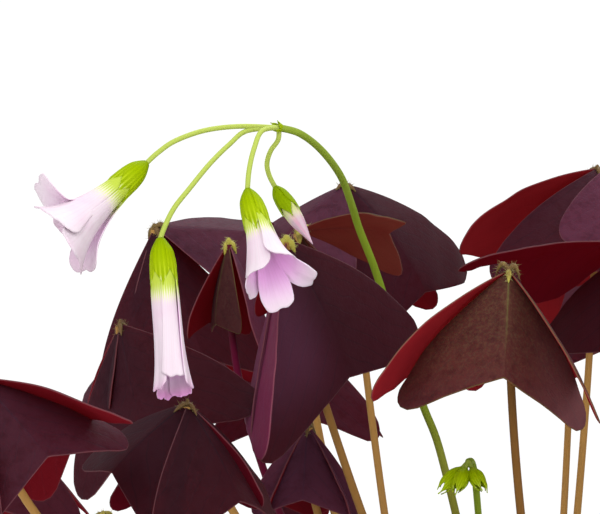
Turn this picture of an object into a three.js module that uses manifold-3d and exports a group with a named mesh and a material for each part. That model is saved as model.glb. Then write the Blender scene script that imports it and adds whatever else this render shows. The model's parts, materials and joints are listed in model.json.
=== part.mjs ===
// Purple shamrock (Oxalis triangularis) in a clay pot.
// Millimetres, +Z up, the pot stands on z = 0 and the flowering side faces -Y.
import * as THREE from 'three';
import { mergeVertices } from 'three/addons/utils/BufferGeometryUtils.js';
import Module from 'manifold-3d';

// ---------- driving dimensions ----------
const POT_HEIGHT = 92;
const POT_TOP_R = 53;
const POT_FOOT_R = 37;
const POT_WALL = 4.5;
const RIM_HEIGHT = 17;
const RIM_STEP = 2.6;
const POT_FLOOR = 6;
const DRAIN_R = 5;
const DRAIN_RING = 20;
const SOIL_TOP = 86;
const CROWN_R = 3.4;
const CROWN_HALF_HEIGHT = 3.2;
const CROWN_SUNK = 5;
const FIT = 0.3;
const BLADE = 0.62;
const HALF_APEX = 50;
const NARROW_APEX = 46;
const NOTCH = 0.64;
const FLARE = 15;
const LEAFLET_ROOT = 0.6;
const HUB_R = 1.35;
const NECK_R = 0.5;
const NECK_LENGTH = 5;
const STEEP_DROOP = 52;
const PETIOLE_R = 0.5;
const PEDUNCLE_R = 0.6;
const PEDICEL_R = 0.32;
const SEPAL_THICK = 0.5;
const PETAL = 0.6;

// ---------- growing plan ----------
// crowns: where each tuft of leaves leaves the soil (x, y)
const CROWNS = [[2, 0], [11, -7], [-10, -7], [-7, 8], [9, 9]];

// leaflet: [azimuth, droop, roll, fold, size, bend, curl, half apex angle if not the usual],
// degrees and millimetres
const PLACED = [
  { name: 'a', hub: [-0.5, -44, 165.5], crown: 1, lean: 0,
    leaflets: [[-95.4, 50.1, -11.8, 28.6, 24.9, 19.5, 15.6], [152.7, 32.4, 2.7, 4, 27.8, 47.5, 5.5],
      [10.4, 49.6, 5.4, 4, 26.5, 21, 5.7]] },
  { name: 'b', hub: [-29.5, -34, 169.1], crown: 0, lean: 0.26,
    leaflets: [[3, 60.2, 44, 5, 32.5, 22, 5], [86, 50, 0, 14, 17.5, 16, 14, 30],
      [184, 74.6, 11.3, 13.4, 37.3, 6, 10.8, 46]] },
  { name: 'c', hub: [-49.7, 18, 168.5], crown: 3, lean: 0,
    leaflets: [[-46, 57, 14, 18, 34.5, 14, 12, 43], [8, 0.5, 25, 14, 26.9, 10, 14.6],
      [165, 66, 0, 20, 22, 15, 15, 34]] },
  { name: 'd', hub: [-52, -30, 157.5], crown: 2, lean: 0,
    leaflets: [[-78, 50, 45, 14, 26.3, 24.9, 7], [45, 42, 0, 18, 26, 15, 15],
      [174, 74, 0, 18, 16, 12, 15, 30]] },
  { name: 'e', hub: [-67.5, -66, 153.5], crown: 2, lean: 0.08,
    leaflets: [[-38, 33.3, 29.4, 15.7, 22.5, 21.8, 20], [24, 17, -30, 16, 23, 22, 18],
      [-150, 50, 0, 20, 28, 15, 15]] },
  { name: 'f', hub: [-42.1, -52, 148.9], crown: 2, lean: 0.08,
    leaflets: [[-162, 34, -22, 14, 20.5, 24, 15], [-32, 50, 4, 14, 22.7, 22, 15.8],
      [95, 60, 0, 20, 18, 15, 15]] },
  { name: 'g', hub: [-38, -1, 167.2], crown: 3, lean: 0,
    leaflets: [[-148, 72, 6, 14, 19, 22, 16, 30], [-8, 62, -8, 10, 26.5, 10, 10, 37],
      [130, 64, 0, 20, 20, 15, 15, 34]] },
  { name: 'h', hub: [-26.6, -15, 142.1], crown: 0, lean: 0.08,
    leaflets: [[-97.3, 53.9, -0.9, 14.3, 17.8, 20, 15, 42], [25, 55, 0, 20, 20, 15, 15, 42],
      [145, 60, 0, 20, 20, 15, 15, 42]] },
  { name: 'i', hub: [-20.5, 36, 174.5], crown: 3, lean: 0.24,
    leaflets: [[-25, 37.8, 25.7, 12, 33.5, 55.4, 21.8],
      [-144.4, 28.3, -8.4, 15.3, 27.3, 20.8, 14.3], [95, 45, 0, 20, 28, 15, 15]] },
  { name: 'j', hub: [19, 36, 177], crown: 4, lean: 0.08,
    leaflets: [[-80, 39.6, -17.3, 11.2, 32.9, 18.1, 15.5], [171.9, 35.2, 29, 5, 33.1, 30.9, 11.9],
      [40, 40, 0, 20, 28, 15, 15]] },
  { name: 'k', hub: [22, 18, 180], crown: 1, lean: 0.08,
    leaflets: [[-80.5, 39.2, -26.1, 16.4, 28, 14.6, 14.9, 44], [22, 34, 0, 22, 23, 18, 18, 44],
      [-32, 42, 0, 22, 24, 18, 18, 44]] },
  { name: 'l', hub: [20, -15, 167.5], crown: 1, lean: -0.35,
    leaflets: [[-150, 60, -22, 15, 25.2, 32, 18], [156.4, -2.2, 11.5, 4.4, 29.4, 37, 7.9],
      [10, 40, 0, 20, 26, 15, 15]] },
  { name: 'u', hub: [-28, 2, 168.6], crown: 3, lean: 0.08,
    leaflets: [[4, -12, -22, 5, 21.1, 45, 8], [58, 44, 0, 18, 18, 16, 14, 34],
      [-68, 72, 0, 16, 17, 14, 14, 34]] },
];

// leaves that follow the ordinary three-way pattern: [name, hub, crown, azimuth, droop, size, lean]
const ORDINARY = [
  ['m', [-50, 46, 154], 3, 170, 36, 27, 0.08],
  ['n', [-29, 62, 149], 3, 152, 38, 27, 0.2],
  ['o', [18, 66, 159.5], 4, 60, 38, 27, 0.08],
  ['p', [48, 42, 158], 4, 45, 38, 28, 0.08],
  ['q', [64, 8, 152], 4, 10, 38, 28, 0.08],
  ['r', [60, -30, 146], 1, -20, 40, 28, 0.08],
  ['s', [36, -54, 138], 1, -60, 40, 27, 0.08],
  ['t', [-74, 4, 142], 2, 160, 38, 27, 0.08],
  ['v', [44.5, -5, 165], 4, -20, 38, 25, 0.08],
  ['w', [52, -6, 124], 1, -5, 32, 24, 0.08],
  ['x', [32, 50, 126], 4, 70, 31, 24, 0.08],
  ['y', [-28, 48, 124], 3, 110, 31, 24, 0.08],
  ['z', [-58, 24, 124], 2, 150, 31, 24, 0.08],
  ['aa', [-58, -29, 121], 2, -155, 31, 24, 0.08],
  ['bb', [-22, -66, 121], 2, -110, 31, 24, 0.08],
  ['cc', [14, -62, 124], 1, -85, 31, 24, 0.08],
];

// flower clusters: main stalk from the soil to the arched tip, then one short stalk per flower
const CLUSTERS = [
  { name: 'front', radius: PEDUNCLE_R,
    stalk: [[-1, -7.5, 80], [-1.5, -7, 100], [-3.2, -6.5, 118], [-7.4, -7, 136.6], [-10.2, -9, 144.3],
      [-14.3, -13, 155.3], [-17.2, -15.5, 164], [-19.4, -18, 169.6], [-20.7, -21.5, 173.6],
      [-22.2, -26, 177.4], [-24.8, -31, 180.9], [-27.7, -35, 183.2], [-30.5, -36, 184]],
    flowers: [
      { name: 'open_low', aim: [-10.7, -8, -9.7], kind: 'funnel',
        stalk: [[-31, -37, 184.4], [-35.6, -39, 184.2], [-40.1, -42.5, 183.7],
          [-43.8, -45.5, 182.4], [-46, -47.1, 180.9], [-47.5, -48, 179.5]] },
      { name: 'tube', aim: [2, -6, -19.2], kind: 'tube',
        stalk: [[-31.5, -37, 184], [-34.7, -38.5, 183.6], [-36.9, -41, 181.9],
          [-39.4, -44.5, 179.4], [-41.9, -48.3, 176.3], [-43.7, -50.5, 174],
          [-44.8, -51.6, 171.9], [-45.5, -52, 170]] },
      { name: 'open_front', aim: [3.8, -10, -12.2], kind: 'bell',
        stalk: [[-31.5, -37.8, 184.6], [-32.7, -39.8, 183.6], [-33.7, -42.6, 181.3],
          [-34.3, -44.8, 178.6], [-34.5, -46, 176]] },
      { name: 'bud', aim: [4.7, -5.5, -6.9], kind: 'bud',
        stalk: [[-30.1, -35.9, 183.6], [-30.6, -35.6, 182.4], [-31.6, -35.2, 180.9],
          [-32.1, -34.6, 179.2], [-31.8, -34, 177.6], [-31, -33.5, 176]] },
    ] },
  { name: 'back', radius: PEDUNCLE_R,
    stalk: [[2, 8, 80], [8, 11, 104], [20, 17, 128], [34, 21, 158], [39, 21, 174], [42, 21, 181],
      [46, 24, 185], [50, 26, 186]],
    flowers: [
      { name: 'open_back', aim: [7, 5, -10], kind: 'funnel',
        stalk: [[50, 26, 186], [55, 28, 186.5], [60, 31, 184], [62, 33, 180]] },
      { name: 'tube_back', aim: [4, -5, -17], kind: 'tube',
        stalk: [[50, 26, 186], [53, 22, 186], [57, 17, 183], [59, 14, 179]] },
      { name: 'bud_back', aim: [1, 3, -8.5], kind: 'bud',
        stalk: [[50, 26, 186], [49, 31, 186], [49, 36, 184], [50, 39, 180.5]] },
    ] },
];

// young cluster still low among the stems: stalk and closed green buds
const YOUNG = {
  stalk: [[4, -9, 80], [2, -13, 100], [-2, -20, 122], [-4, -29, 137], [-5, -32, 139]],
  radius: 0.5,
  buds: [[-2.2, -4.6, -4.4], [1.8, -4.2, -3.6], [-3.4, -1.8, -3.2]],
};

// ---------- small helpers ----------
const rad = (deg) => deg * Math.PI / 180;
const vec = (a) => new THREE.Vector3(a[0], a[1], a[2]);
const UP = new THREE.Vector3(0, 0, 1);

const wasm = await Module();
wasm.setup();

// seeded draws, each between -spread and +spread
function draws(seed) {
  let value = seed;
  return (spread) => {
    value = (value * 16807) % 2147483647;
    return (2 * value / 2147483647 - 1) * spread;
  };
}

function toManifold(geometry) {
  let g = geometry.clone();
  g.deleteAttribute('normal');
  g.deleteAttribute('uv');
  g = mergeVertices(g, 1e-4);
  const mesh = new wasm.Mesh({
    numProp: 3,
    vertProperties: new Float32Array(g.attributes.position.array),
    triVerts: new Uint32Array(g.index.array),
  });
  return new wasm.Manifold(mesh);
}

function fuse(geometries) {
  let body = toManifold(geometries[0]);
  for (const g of geometries.slice(1)) {
    body = body.add(toManifold(g));
  }
  return body;
}

function toGeometry(manifold) {
  const out = manifold.getMesh();
  const g = new THREE.BufferGeometry();
  g.setAttribute('position', new THREE.BufferAttribute(new Float32Array(out.vertProperties), 3));
  g.setIndex(new THREE.BufferAttribute(new Uint32Array(out.triVerts), 1));
  g.computeVertexNormals();
  return g;
}

// closed body from positions and triangles
function solid(points, triangles) {
  const g = new THREE.BufferGeometry();
  g.setAttribute('position', new THREE.Float32BufferAttribute(points.flatMap((p) => [p.x, p.y, p.z]), 3));
  g.setIndex(triangles);
  g.computeVertexNormals();
  return g;
}

// thin solid between two matching grids; rows x columns turns towards the top face
function slab(top, bottom) {
  const rows = top.length;
  const cols = top[0].length;
  const points = [...top.flat(), ...bottom.flat()];
  const half = rows * cols;
  const at = (i, j, low) => i * cols + j + (low ? half : 0);
  const tris = [];
  for (let i = 0; i + 1 < rows; i += 1) {
    for (let j = 0; j + 1 < cols; j += 1) {
      const a = at(i, j);
      const b = at(i + 1, j);
      const c = at(i + 1, j + 1);
      const d = at(i, j + 1);
      tris.push(a, b, c, a, c, d);
      tris.push(a + half, c + half, b + half, a + half, d + half, c + half);
    }
  }
  const loop = [];
  for (let i = 0; i + 1 < rows; i += 1) loop.push(at(i, 0));
  for (let j = 0; j + 1 < cols; j += 1) loop.push(at(rows - 1, j));
  for (let i = rows - 1; i > 0; i -= 1) loop.push(at(i, cols - 1));
  for (let j = cols - 1; j > 0; j -= 1) loop.push(at(0, j));
  loop.forEach((a, k) => {
    const b = loop[(k + 1) % loop.length];
    tris.push(a + half, b + half, b, a + half, b, a);
  });
  return solid(points, tris);
}

// round stem along a row of points, radius as a function of the way along
function stem(points, radius, sides) {
  const rings = [];
  let side = new THREE.Vector3(1, 0.2, 0);
  points.forEach((p, i) => {
    const before = points[Math.max(i - 1, 0)];
    const after = points[Math.min(i + 1, points.length - 1)];
    const along = after.clone().sub(before).normalize();
    side = side.clone().addScaledVector(along, -side.dot(along)).normalize();
    const other = along.clone().cross(side);
    const r = radius(i / (points.length - 1));
    const ring = [];
    for (let k = 0; k < sides; k += 1) {
      const w = 2 * Math.PI * k / sides;
      ring.push(p.clone().addScaledVector(side, r * Math.cos(w)).addScaledVector(other, r * Math.sin(w)));
    }
    rings.push(ring);
  });
  return tower(rings, points[0], points[points.length - 1]);
}

// closed body from rings stacked bottom to top, each ring turning about the upward way
function tower(rings, foot, tip) {
  const sides = rings[0].length;
  const points = [...rings.flat(), foot.clone(), tip.clone()];
  const footAt = points.length - 2;
  const tipAt = points.length - 1;
  const last = (rings.length - 1) * sides;
  const tris = [];
  for (let k = 0; k < sides; k += 1) {
    const n = (k + 1) % sides;
    for (let i = 0; i + 1 < rings.length; i += 1) {
      const a = i * sides + k;
      const b = i * sides + n;
      tris.push(a, b, b + sides, a, b + sides, a + sides);
    }
    tris.push(footAt, n, k);
    tris.push(tipAt, last + k, last + n);
  }
  return solid(points, tris);
}

function ball(centre, rx, rz, wide, high) {
  const g = new THREE.SphereGeometry(1, wide, high);
  g.rotateX(Math.PI / 2);
  g.scale(rx, rx, rz);
  g.translate(centre.x, centre.y, centre.z);
  return g;
}

// ---------- leaves ----------
function spread(s, apex) {
  return rad(apex) * (1.05 - 0.17 * s * s);
}

// far margin of a leaflet of size 1: two rounded lobes with a shallow notch between them
function margin(v, apex) {
  const x = Math.abs(v);
  const r = NOTCH * Math.cos(rad(FLARE)) / Math.cos(x * spread(1, apex) + rad(FLARE));
  const lobe = Math.max(0, (x - 0.72) / 0.28);
  return r * (1 - 0.27 * lobe * lobe);
}

// point of a leaflet: s runs from the hub to the far margin, v across from edge to edge
function leafletPoint(hub, leaflet, s, v) {
  const [az, droop, roll, fold, , bend, curl] = leaflet.map(rad);
  const size = leaflet[4];
  const apex = leaflet[7] ?? HALF_APEX;
  const out = new THREE.Vector3(Math.cos(az), Math.sin(az), 0);
  const side = new THREE.Vector3(-Math.sin(az), Math.cos(az), 0);
  const t0 = out.clone().multiplyScalar(Math.cos(droop)).addScaledVector(UP, -Math.sin(droop));
  const n0 = out.clone().multiplyScalar(Math.sin(droop)).addScaledVector(UP, Math.cos(droop));
  const b0 = side.clone().multiplyScalar(Math.cos(roll)).addScaledVector(n0, Math.sin(roll));
  const n1 = n0.clone().multiplyScalar(Math.cos(roll)).addScaledVector(side, -Math.sin(roll));
  const r = LEAFLET_ROOT + (size * margin(v, apex) - LEAFLET_ROOT) * s;
  const angle = spread(s, apex) * v;
  const a = r * Math.cos(angle);
  const b = r * Math.sin(angle);
  const k = bend / size;
  const c = curl / (0.7 * size);
  const q = Math.abs(b);
  const along = Math.sin(k * a) / k;
  const sag = (1 - Math.cos(k * a)) / k;
  const across = (Math.sin(fold + c * q) - Math.sin(fold)) / c * Math.sign(b);
  const drop = (Math.cos(fold) - Math.cos(fold + c * q)) / c;
  const n = t0.clone().multiplyScalar(Math.sin(k * a)).addScaledVector(n1, Math.cos(k * a));
  return hub.clone().addScaledVector(t0, along).addScaledVector(n1, -sag)
    .addScaledVector(b0, across).addScaledVector(n, -drop);
}

const LEAFLET_ROWS = [0, 0.5, 1];
const LEAFLET_COLS = [-1, -0.72, 0, 0.72, 1];

function leafletSolid(hub, leaflet) {
  const step = 0.02;
  const top = [];
  const bottom = [];
  for (const s of LEAFLET_ROWS) {
    const high = [];
    const low = [];
    for (const v of LEAFLET_COLS) {
      const p = leafletPoint(hub, leaflet, s, v);
      const ds = leafletPoint(hub, leaflet, s + step, v).sub(leafletPoint(hub, leaflet, s - step, v));
      const dv = leafletPoint(hub, leaflet, s, v + step).sub(leafletPoint(hub, leaflet, s, v - step));
      const n = ds.cross(dv).normalize();
      high.push(p.clone().addScaledVector(n, BLADE / 2));
      low.push(p.clone().addScaledVector(n, -BLADE / 2));
    }
    top.push(high);
    bottom.push(low);
  }
  return slab(top, bottom);
}

function leafSolid(leaf) {
  const hub = vec(leaf.hub);
  const bodies = leaf.leaflets.map((leaflet) => leafletSolid(hub, leaflet));
  bodies.push(ball(hub, HUB_R, HUB_R, 6, 3));
  if (leaf.neck > HUB_R) {
    bodies.push(stem([hub.clone().addScaledVector(UP, -leaf.neck), hub], () => NECK_R, 4));
  }
  return toGeometry(fuse(bodies));
}

// a hub with steep leaflets reaches further down onto its stalk
function placedLeaf(leaf) {
  const steep = Math.max(...leaf.leaflets.map((leaflet) => leaflet[1]));
  return { ...leaf, neck: steep > STEEP_DROOP ? NECK_LENGTH : HUB_R };
}

// three leaflets a third of a turn apart, none of them quite alike
function ordinaryLeaf([name, hub, crown, az, droop, size, lean], index) {
  const d = draws((PLACED.length + index) * 977 + 31);
  const leaflets = [0, 1, 2].map((i) => [
    az + 120 * i + d(6), droop + d(5), d(6), 12 + d(4), size + d(1.5), 20 + d(5), 15 + d(4),
    NARROW_APEX]);
  return { name, hub, crown, lean, leaflets, neck: HUB_R };
}

const LEAVES = [...PLACED.map(placedLeaf), ...ORDINARY.map(ordinaryLeaf)];

const PETIOLE_PARTS = 5;

// leaf stalk: bows outwards from its crown and comes up under the hub
function petiolePoints(leaf, count) {
  const hub = vec(leaf.hub);
  const foot = new THREE.Vector3(...CROWNS[leaf.crown], SOIL_TOP);
  const out = hub.clone().sub(foot).setZ(0);
  const rise = hub.z - SOIL_TOP;
  const reach = out.length();
  const start = foot.clone().addScaledVector(out, Math.min(2.2, reach * 0.3) / reach);
  const end = hub.clone().addScaledVector(UP, -leaf.neck - FIT);
  const low = start.clone().addScaledVector(out, 0.42).addScaledVector(UP, rise * 0.28);
  const back = Math.max(rise * 0.34, 15);
  const high = end.clone().addScaledVector(out, -leaf.lean).addScaledVector(UP, -back);
  return new THREE.CubicBezierCurve3(start, low, high, end).getPoints(count);
}

function tuftSolid(index) {
  const [x, y] = CROWNS[index];
  const middle = new THREE.Vector3(x, y, SOIL_TOP - CROWN_SUNK + CROWN_HALF_HEIGHT);
  const bodies = [ball(middle, CROWN_R, CROWN_HALF_HEIGHT, 9, 5)];
  for (const leaf of LEAVES) {
    if (leaf.crown === index) {
      bodies.push(stem(petiolePoints(leaf, PETIOLE_PARTS), (t) => PETIOLE_R * (1.25 - 0.25 * t), 5));
    }
  }
  return toGeometry(fuse(bodies));
}

// ---------- flowers ----------
// two ways across an aim, for building round it
function frame(aim) {
  const z = vec(aim).normalize();
  const x = new THREE.Vector3(0.3, 0.9, 0.1).cross(z).normalize();
  return { x, y: z.clone().cross(x), z };
}

function around(base, f, r, t, w) {
  return base.clone().addScaledVector(f.z, t)
    .addScaledVector(f.x, r * Math.cos(w)).addScaledVector(f.y, r * Math.sin(w));
}

// value of a profile [[t, r], ...] at t
function profileAt(profile, t) {
  for (let i = 0; i + 1 < profile.length; i += 1) {
    const [t0, r0] = profile[i];
    const [t1, r1] = profile[i + 1];
    if (t <= t1 || i + 2 === profile.length) return r0 + (r1 - r0) * (t - t0) / (t1 - t0);
  }
  return 0;
}

const SEPAL_LENGTH = 6;
const SEPAL_CLEFT = 3.2;
const CALYX_FLOOR = 0.7;
const CALYX = [[0, 0.5], [1.1, 1.3], [2.6, 1.78], [4.4, 1.8], [6, 1.75]];

// cup of five pointed sepals
function calyxSolid(base, aim) {
  const f = frame(aim);
  const sides = 10;
  const outer = [];
  const inner = [];
  for (const u of [0, 0.4, 1]) {
    const ringOut = [];
    const ringIn = [];
    for (let k = 0; k < sides; k += 1) {
      const w = 2 * Math.PI * k / sides;
      const end = k % 2 === 0 ? SEPAL_LENGTH : SEPAL_CLEFT;
      const t = u * end;
      const tin = CALYX_FLOOR + u * (end - CALYX_FLOOR);
      ringOut.push(around(base, f, profileAt(CALYX, t), t, w));
      ringIn.push(around(base, f, Math.max(profileAt(CALYX, tin) - SEPAL_THICK, 0.25), tin, w));
    }
    outer.push(ringOut);
    inner.push(ringIn);
  }
  return tower([...outer, ...inner.reverse()], base, around(base, f, 0, CALYX_FLOOR, 0));
}

// corolla outlines: [[way along, radius], ...], petal length past the clefts and cleft depth
const COROLLAS = {
  funnel: { sides: 15, cleft: 3.2,
    path: [[1.1, 0.4], [6.4, 1.15], [8.4, 2], [11.2, 2.8], [14, 4.1], [16.6, 6]] },
  bell: { sides: 15, cleft: 3.2,
    path: [[1.1, 0.4], [6.4, 1.15], [8.4, 1.9], [11, 2.5], [13.6, 3.5], [16, 5]] },
  tube: { sides: 10, cleft: 1.2,
    path: [[1.1, 0.4], [6.4, 1.15], [8, 1.7], [17, 2], [19.6, 2.4]] },
};
const THROAT = 6.4;
const BUD = [[1.1, 0.4], [2.6, 0.85], [6.2, 1.1], [7.4, 0.95], [9, 0.5], [10.6, 0.12]];
const YOUNG_BUD = [[0, 0.4], [1, 0.95], [2.4, 1.05], [3.6, 0.7], [4.3, 0.25]];

// closed spindle round an aim, from its outline
function spindle(base, f, profile, sides) {
  const rings = profile.map(([t, r]) => (
    Array.from({ length: sides }, (_, k) => around(base, f, r, t, 2 * Math.PI * k / sides))));
  const foot = around(base, f, 0, profile[0][0], 0);
  const tip = around(base, f, 0, profile[profile.length - 1][0], 0);
  return tower(rings, foot, tip);
}

// five petals joined into one funnel with a wavy mouth
function corollaSolid(base, aim, kind) {
  const f = frame(aim);
  if (kind === 'bud') return toGeometry(toManifold(spindle(base, f, BUD, 10)));
  const { sides, cleft, path } = COROLLAS[kind];
  const top = path[path.length - 1][0];
  const outer = [];
  const inner = [];
  path.forEach(([stop], row) => {
    const ringOut = [];
    const ringIn = [];
    for (let k = 0; k < sides; k += 1) {
      const w = 2 * Math.PI * k / sides;
      const petal = Math.abs(Math.cos(2.5 * w)) ** 0.8;
      const end = top - cleft * (1 - petal);
      const t = stop <= THROAT ? stop : THROAT + (stop - THROAT) * (end - THROAT) / (top - THROAT);
      const r = profileAt(path, t);
      const slope = (profileAt(path, t + 0.1) - profileAt(path, t - 0.1)) / 0.2;
      const len = Math.hypot(1, slope);
      ringOut.push(around(base, f, r, t, w));
      const rin = Math.max(r - PETAL / len, 0.12 + 0.05 * row);
      ringIn.push(around(base, f, rin, t + PETAL * slope / len, w));
    }
    outer.push(ringOut);
    if (row >= 1) inner.push(ringIn);
  });
  const foot = around(base, f, 0, path[0][0], 0);
  const well = around(base, f, 0, path[1][0], 0);
  return toGeometry(toManifold(tower([...outer, ...inner.reverse()], foot, well)));
}

function clusterSolid(cluster) {
  const tip = vec(cluster.stalk[cluster.stalk.length - 1]);
  const bodies = [
    stem(cluster.stalk.map(vec), (t) => cluster.radius * (1.1 - 0.2 * t), 6),
    ball(tip, 1.0, 0.9, 6, 4),
  ];
  for (const flower of cluster.flowers) {
    const points = flower.stalk.map(vec);
    const end = points[points.length - 1];
    points[0] = tip.clone();
    points.push(end.clone().addScaledVector(vec(flower.aim).normalize(), 0.35));
    bodies.push(stem(points, () => PEDICEL_R, 4));
    bodies.push(calyxSolid(end, flower.aim));
  }
  return toGeometry(fuse(bodies));
}

function youngSolid() {
  const tip = vec(YOUNG.stalk[YOUNG.stalk.length - 1]);
  const bodies = [
    stem(YOUNG.stalk.map(vec), () => YOUNG.radius, 5),
    ball(tip, 0.9, 0.9, 6, 4),
  ];
  for (const way of YOUNG.buds) {
    const f = frame(way);
    const start = tip.clone();
    const base = start.clone().addScaledVector(f.z, 1.4);
    bodies.push(stem([start, base.clone().addScaledVector(f.z, 0.5)], () => PEDICEL_R, 4));
    bodies.push(spindle(base, f, YOUNG_BUD, 6));
  }
  return toGeometry(fuse(bodies));
}

// ---------- pot and soil ----------
const POT_RIM_R = POT_TOP_R - RIM_STEP;

// outside radius of the plain wall at height z
function wallRadius(z) {
  return POT_FOOT_R + (POT_RIM_R - POT_FOOT_R) * z / POT_HEIGHT;
}

function cylinder(x, y, z0, z1, r, sides) {
  const g = new THREE.CylinderGeometry(r, r, z1 - z0, sides);
  g.rotateX(Math.PI / 2);
  g.translate(x, y, (z0 + z1) / 2);
  return g;
}

function lathe(profile, sides) {
  const g = new THREE.LatheGeometry(profile.map(([r, z]) => new THREE.Vector2(r, z)), sides);
  g.rotateX(Math.PI / 2);
  return g;
}

function potSolid() {
  const band = POT_HEIGHT - RIM_HEIGHT;
  const profile = [
    [0, 0], [POT_FOOT_R - 1.5, 0], [POT_FOOT_R, 1.5], [wallRadius(band), band],
    [POT_TOP_R - 1.6, band + 0.6], [POT_TOP_R - 0.9, band + 2], [POT_TOP_R, POT_HEIGHT - 2],
    [POT_TOP_R - 1.2, POT_HEIGHT - 0.3], [POT_TOP_R - 3.4, POT_HEIGHT],
    [POT_RIM_R - POT_WALL + 0.6, POT_HEIGHT - 1], [POT_RIM_R - POT_WALL, POT_HEIGHT - 3],
    [wallRadius(POT_FLOOR + 3) - POT_WALL, POT_FLOOR + 3],
    [wallRadius(POT_FLOOR) - POT_WALL - 3, POT_FLOOR], [0, POT_FLOOR],
  ];
  let body = toManifold(lathe(profile, 32));
  for (const turn of [0, 1, 2]) {
    const w = rad(90 + 120 * turn);
    const x = DRAIN_RING * Math.cos(w);
    const y = DRAIN_RING * Math.sin(w);
    const hole = cylinder(x, y, -2, POT_FLOOR + 2, DRAIN_R, 8);
    body = body.subtract(toManifold(hole));
  }
  return toGeometry(body);
}

function soilSolid() {
  const edge = wallRadius(SOIL_TOP - 2) - POT_WALL - FIT;
  const profile = [
    [0, POT_FLOOR + FIT], [wallRadius(POT_FLOOR) - POT_WALL - 3.6, POT_FLOOR + FIT],
    [wallRadius(POT_FLOOR + 3) - POT_WALL - FIT - 0.2, POT_FLOOR + 3.2], [edge - 0.2, SOIL_TOP - 2.4],
    [edge - 2, SOIL_TOP - 1.2], [30, SOIL_TOP - 0.3], [22, SOIL_TOP], [0, SOIL_TOP],
  ];
  let body = toManifold(lathe(profile, 20));
  for (const [x, y] of CROWNS) {
    const hole = cylinder(x, y, SOIL_TOP - CROWN_SUNK - FIT, SOIL_TOP + 3, CROWN_R + FIT + 0.2, 9);
    body = body.subtract(toManifold(hole));
  }
  for (const { stalk } of [...CLUSTERS, YOUNG]) {
    const [x, y, z] = stalk[0];
    const [x1, y1, z1] = stalk[1];
    const t = (SOIL_TOP - z) / (z1 - z) / 2;
    const hole = cylinder(x + (x1 - x) * t, y + (y1 - y) * t, z - FIT, SOIL_TOP + 3, 1.6, 8);
    body = body.subtract(toManifold(hole));
  }
  return toGeometry(body);
}

// ---------- assembly ----------
const COLOURS = {
  pot: 0xb5643c, soil: 0x3b2a20, petiole: 0xa9803f, stalk: 0x8fb92e, petal: 0xeedcf0,
};
const LEAF_COLOURS = [0x4a2440, 0x56304a, 0x432038, 0x5c2f3c];

const part = new THREE.Group();
part.name = 'purple_shamrock';

function add(name, geometry, colour, roughness = 0.7) {
  const mesh = new THREE.Mesh(geometry, new THREE.MeshStandardMaterial({ color: colour, roughness }));
  mesh.name = name;
  part.add(mesh);
}

add('pot', potSolid(), COLOURS.pot, 0.85);
add('soil', soilSolid(), COLOURS.soil, 1);
CROWNS.forEach((_, i) => add(`tuft_${i + 1}`, tuftSolid(i), COLOURS.petiole));
LEAVES.forEach((leaf, i) => add(`leaf_${leaf.name}`, leafSolid(leaf), LEAF_COLOURS[i % 4], 0.6));
for (const cluster of CLUSTERS) {
  add(`stalk_${cluster.name}`, clusterSolid(cluster), COLOURS.stalk);
  for (const flower of cluster.flowers) {
    const base = vec(flower.stalk[flower.stalk.length - 1]);
    add(`corolla_${flower.name}`, corollaSolid(base, flower.aim, flower.kind), COLOURS.petal, 0.5);
  }
}
add('stalk_young', youngSolid(), COLOURS.stalk);

export default part;
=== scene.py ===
"""Purple shamrock, Oxalis triangularis, in a clay pot.

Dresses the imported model: each leaf, stem, flower, the soil and the pot get their fine surface here.
The growing plan is in millimetres and degrees, and meshes are built in metres.
"""
import json
import math

import bpy
import numpy as np
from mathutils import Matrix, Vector

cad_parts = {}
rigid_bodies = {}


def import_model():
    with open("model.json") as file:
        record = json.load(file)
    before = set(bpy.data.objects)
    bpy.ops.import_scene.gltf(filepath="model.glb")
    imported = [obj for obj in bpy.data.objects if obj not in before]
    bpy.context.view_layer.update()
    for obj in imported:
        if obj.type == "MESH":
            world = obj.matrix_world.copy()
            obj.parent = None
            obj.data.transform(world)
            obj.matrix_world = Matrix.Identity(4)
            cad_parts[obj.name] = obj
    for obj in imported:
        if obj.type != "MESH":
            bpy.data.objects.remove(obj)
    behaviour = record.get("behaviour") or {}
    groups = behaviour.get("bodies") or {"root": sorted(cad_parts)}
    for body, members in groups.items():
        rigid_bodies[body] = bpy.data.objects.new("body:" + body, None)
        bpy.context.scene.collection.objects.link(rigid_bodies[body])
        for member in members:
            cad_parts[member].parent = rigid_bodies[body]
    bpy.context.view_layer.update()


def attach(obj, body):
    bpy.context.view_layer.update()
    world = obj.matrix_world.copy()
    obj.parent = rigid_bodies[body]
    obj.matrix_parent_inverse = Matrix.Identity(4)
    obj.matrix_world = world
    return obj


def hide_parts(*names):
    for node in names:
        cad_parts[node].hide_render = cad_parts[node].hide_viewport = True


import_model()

bl_info = {
    "name": "Purple shamrock",
    "version": (1, 0, 0),
    "blender": (4, 5, 0),
    "location": "View3D > Sidebar > Shamrock",
    "description": "Leaves, flowers, soil and pot of a purple shamrock around its packed model",
    "category": "Object",
}

MM = 0.001
BODY = "root"

# ---------- growing plan: millimetres and degrees ----------
POT_HEIGHT = 92.0
POT_TOP_R = 53.0
POT_FOOT_R = 37.0
POT_WALL = 4.5
RIM_HEIGHT = 17.0
RIM_STEP = 2.6
POT_FLOOR = 6.0
DRAIN_R = 5.0
DRAIN_RING = 20.0
EDGE_ROUND = 1.5
SOIL_TOP = 86.0
SOIL_FOOT_IN = 3.6
CROWN_SUNK = 5.0
CROWN_SCALES = 9
FIT = 0.3
HALF_APEX = 50.0
NARROW_APEX = 46.0
NOTCH = 0.64
FLARE = math.radians(15)
LEAFLET_ROOT = 0.6
HUB_R = 1.35
NECK_LENGTH = 5.0
STEEP_DROOP = 52.0

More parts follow.
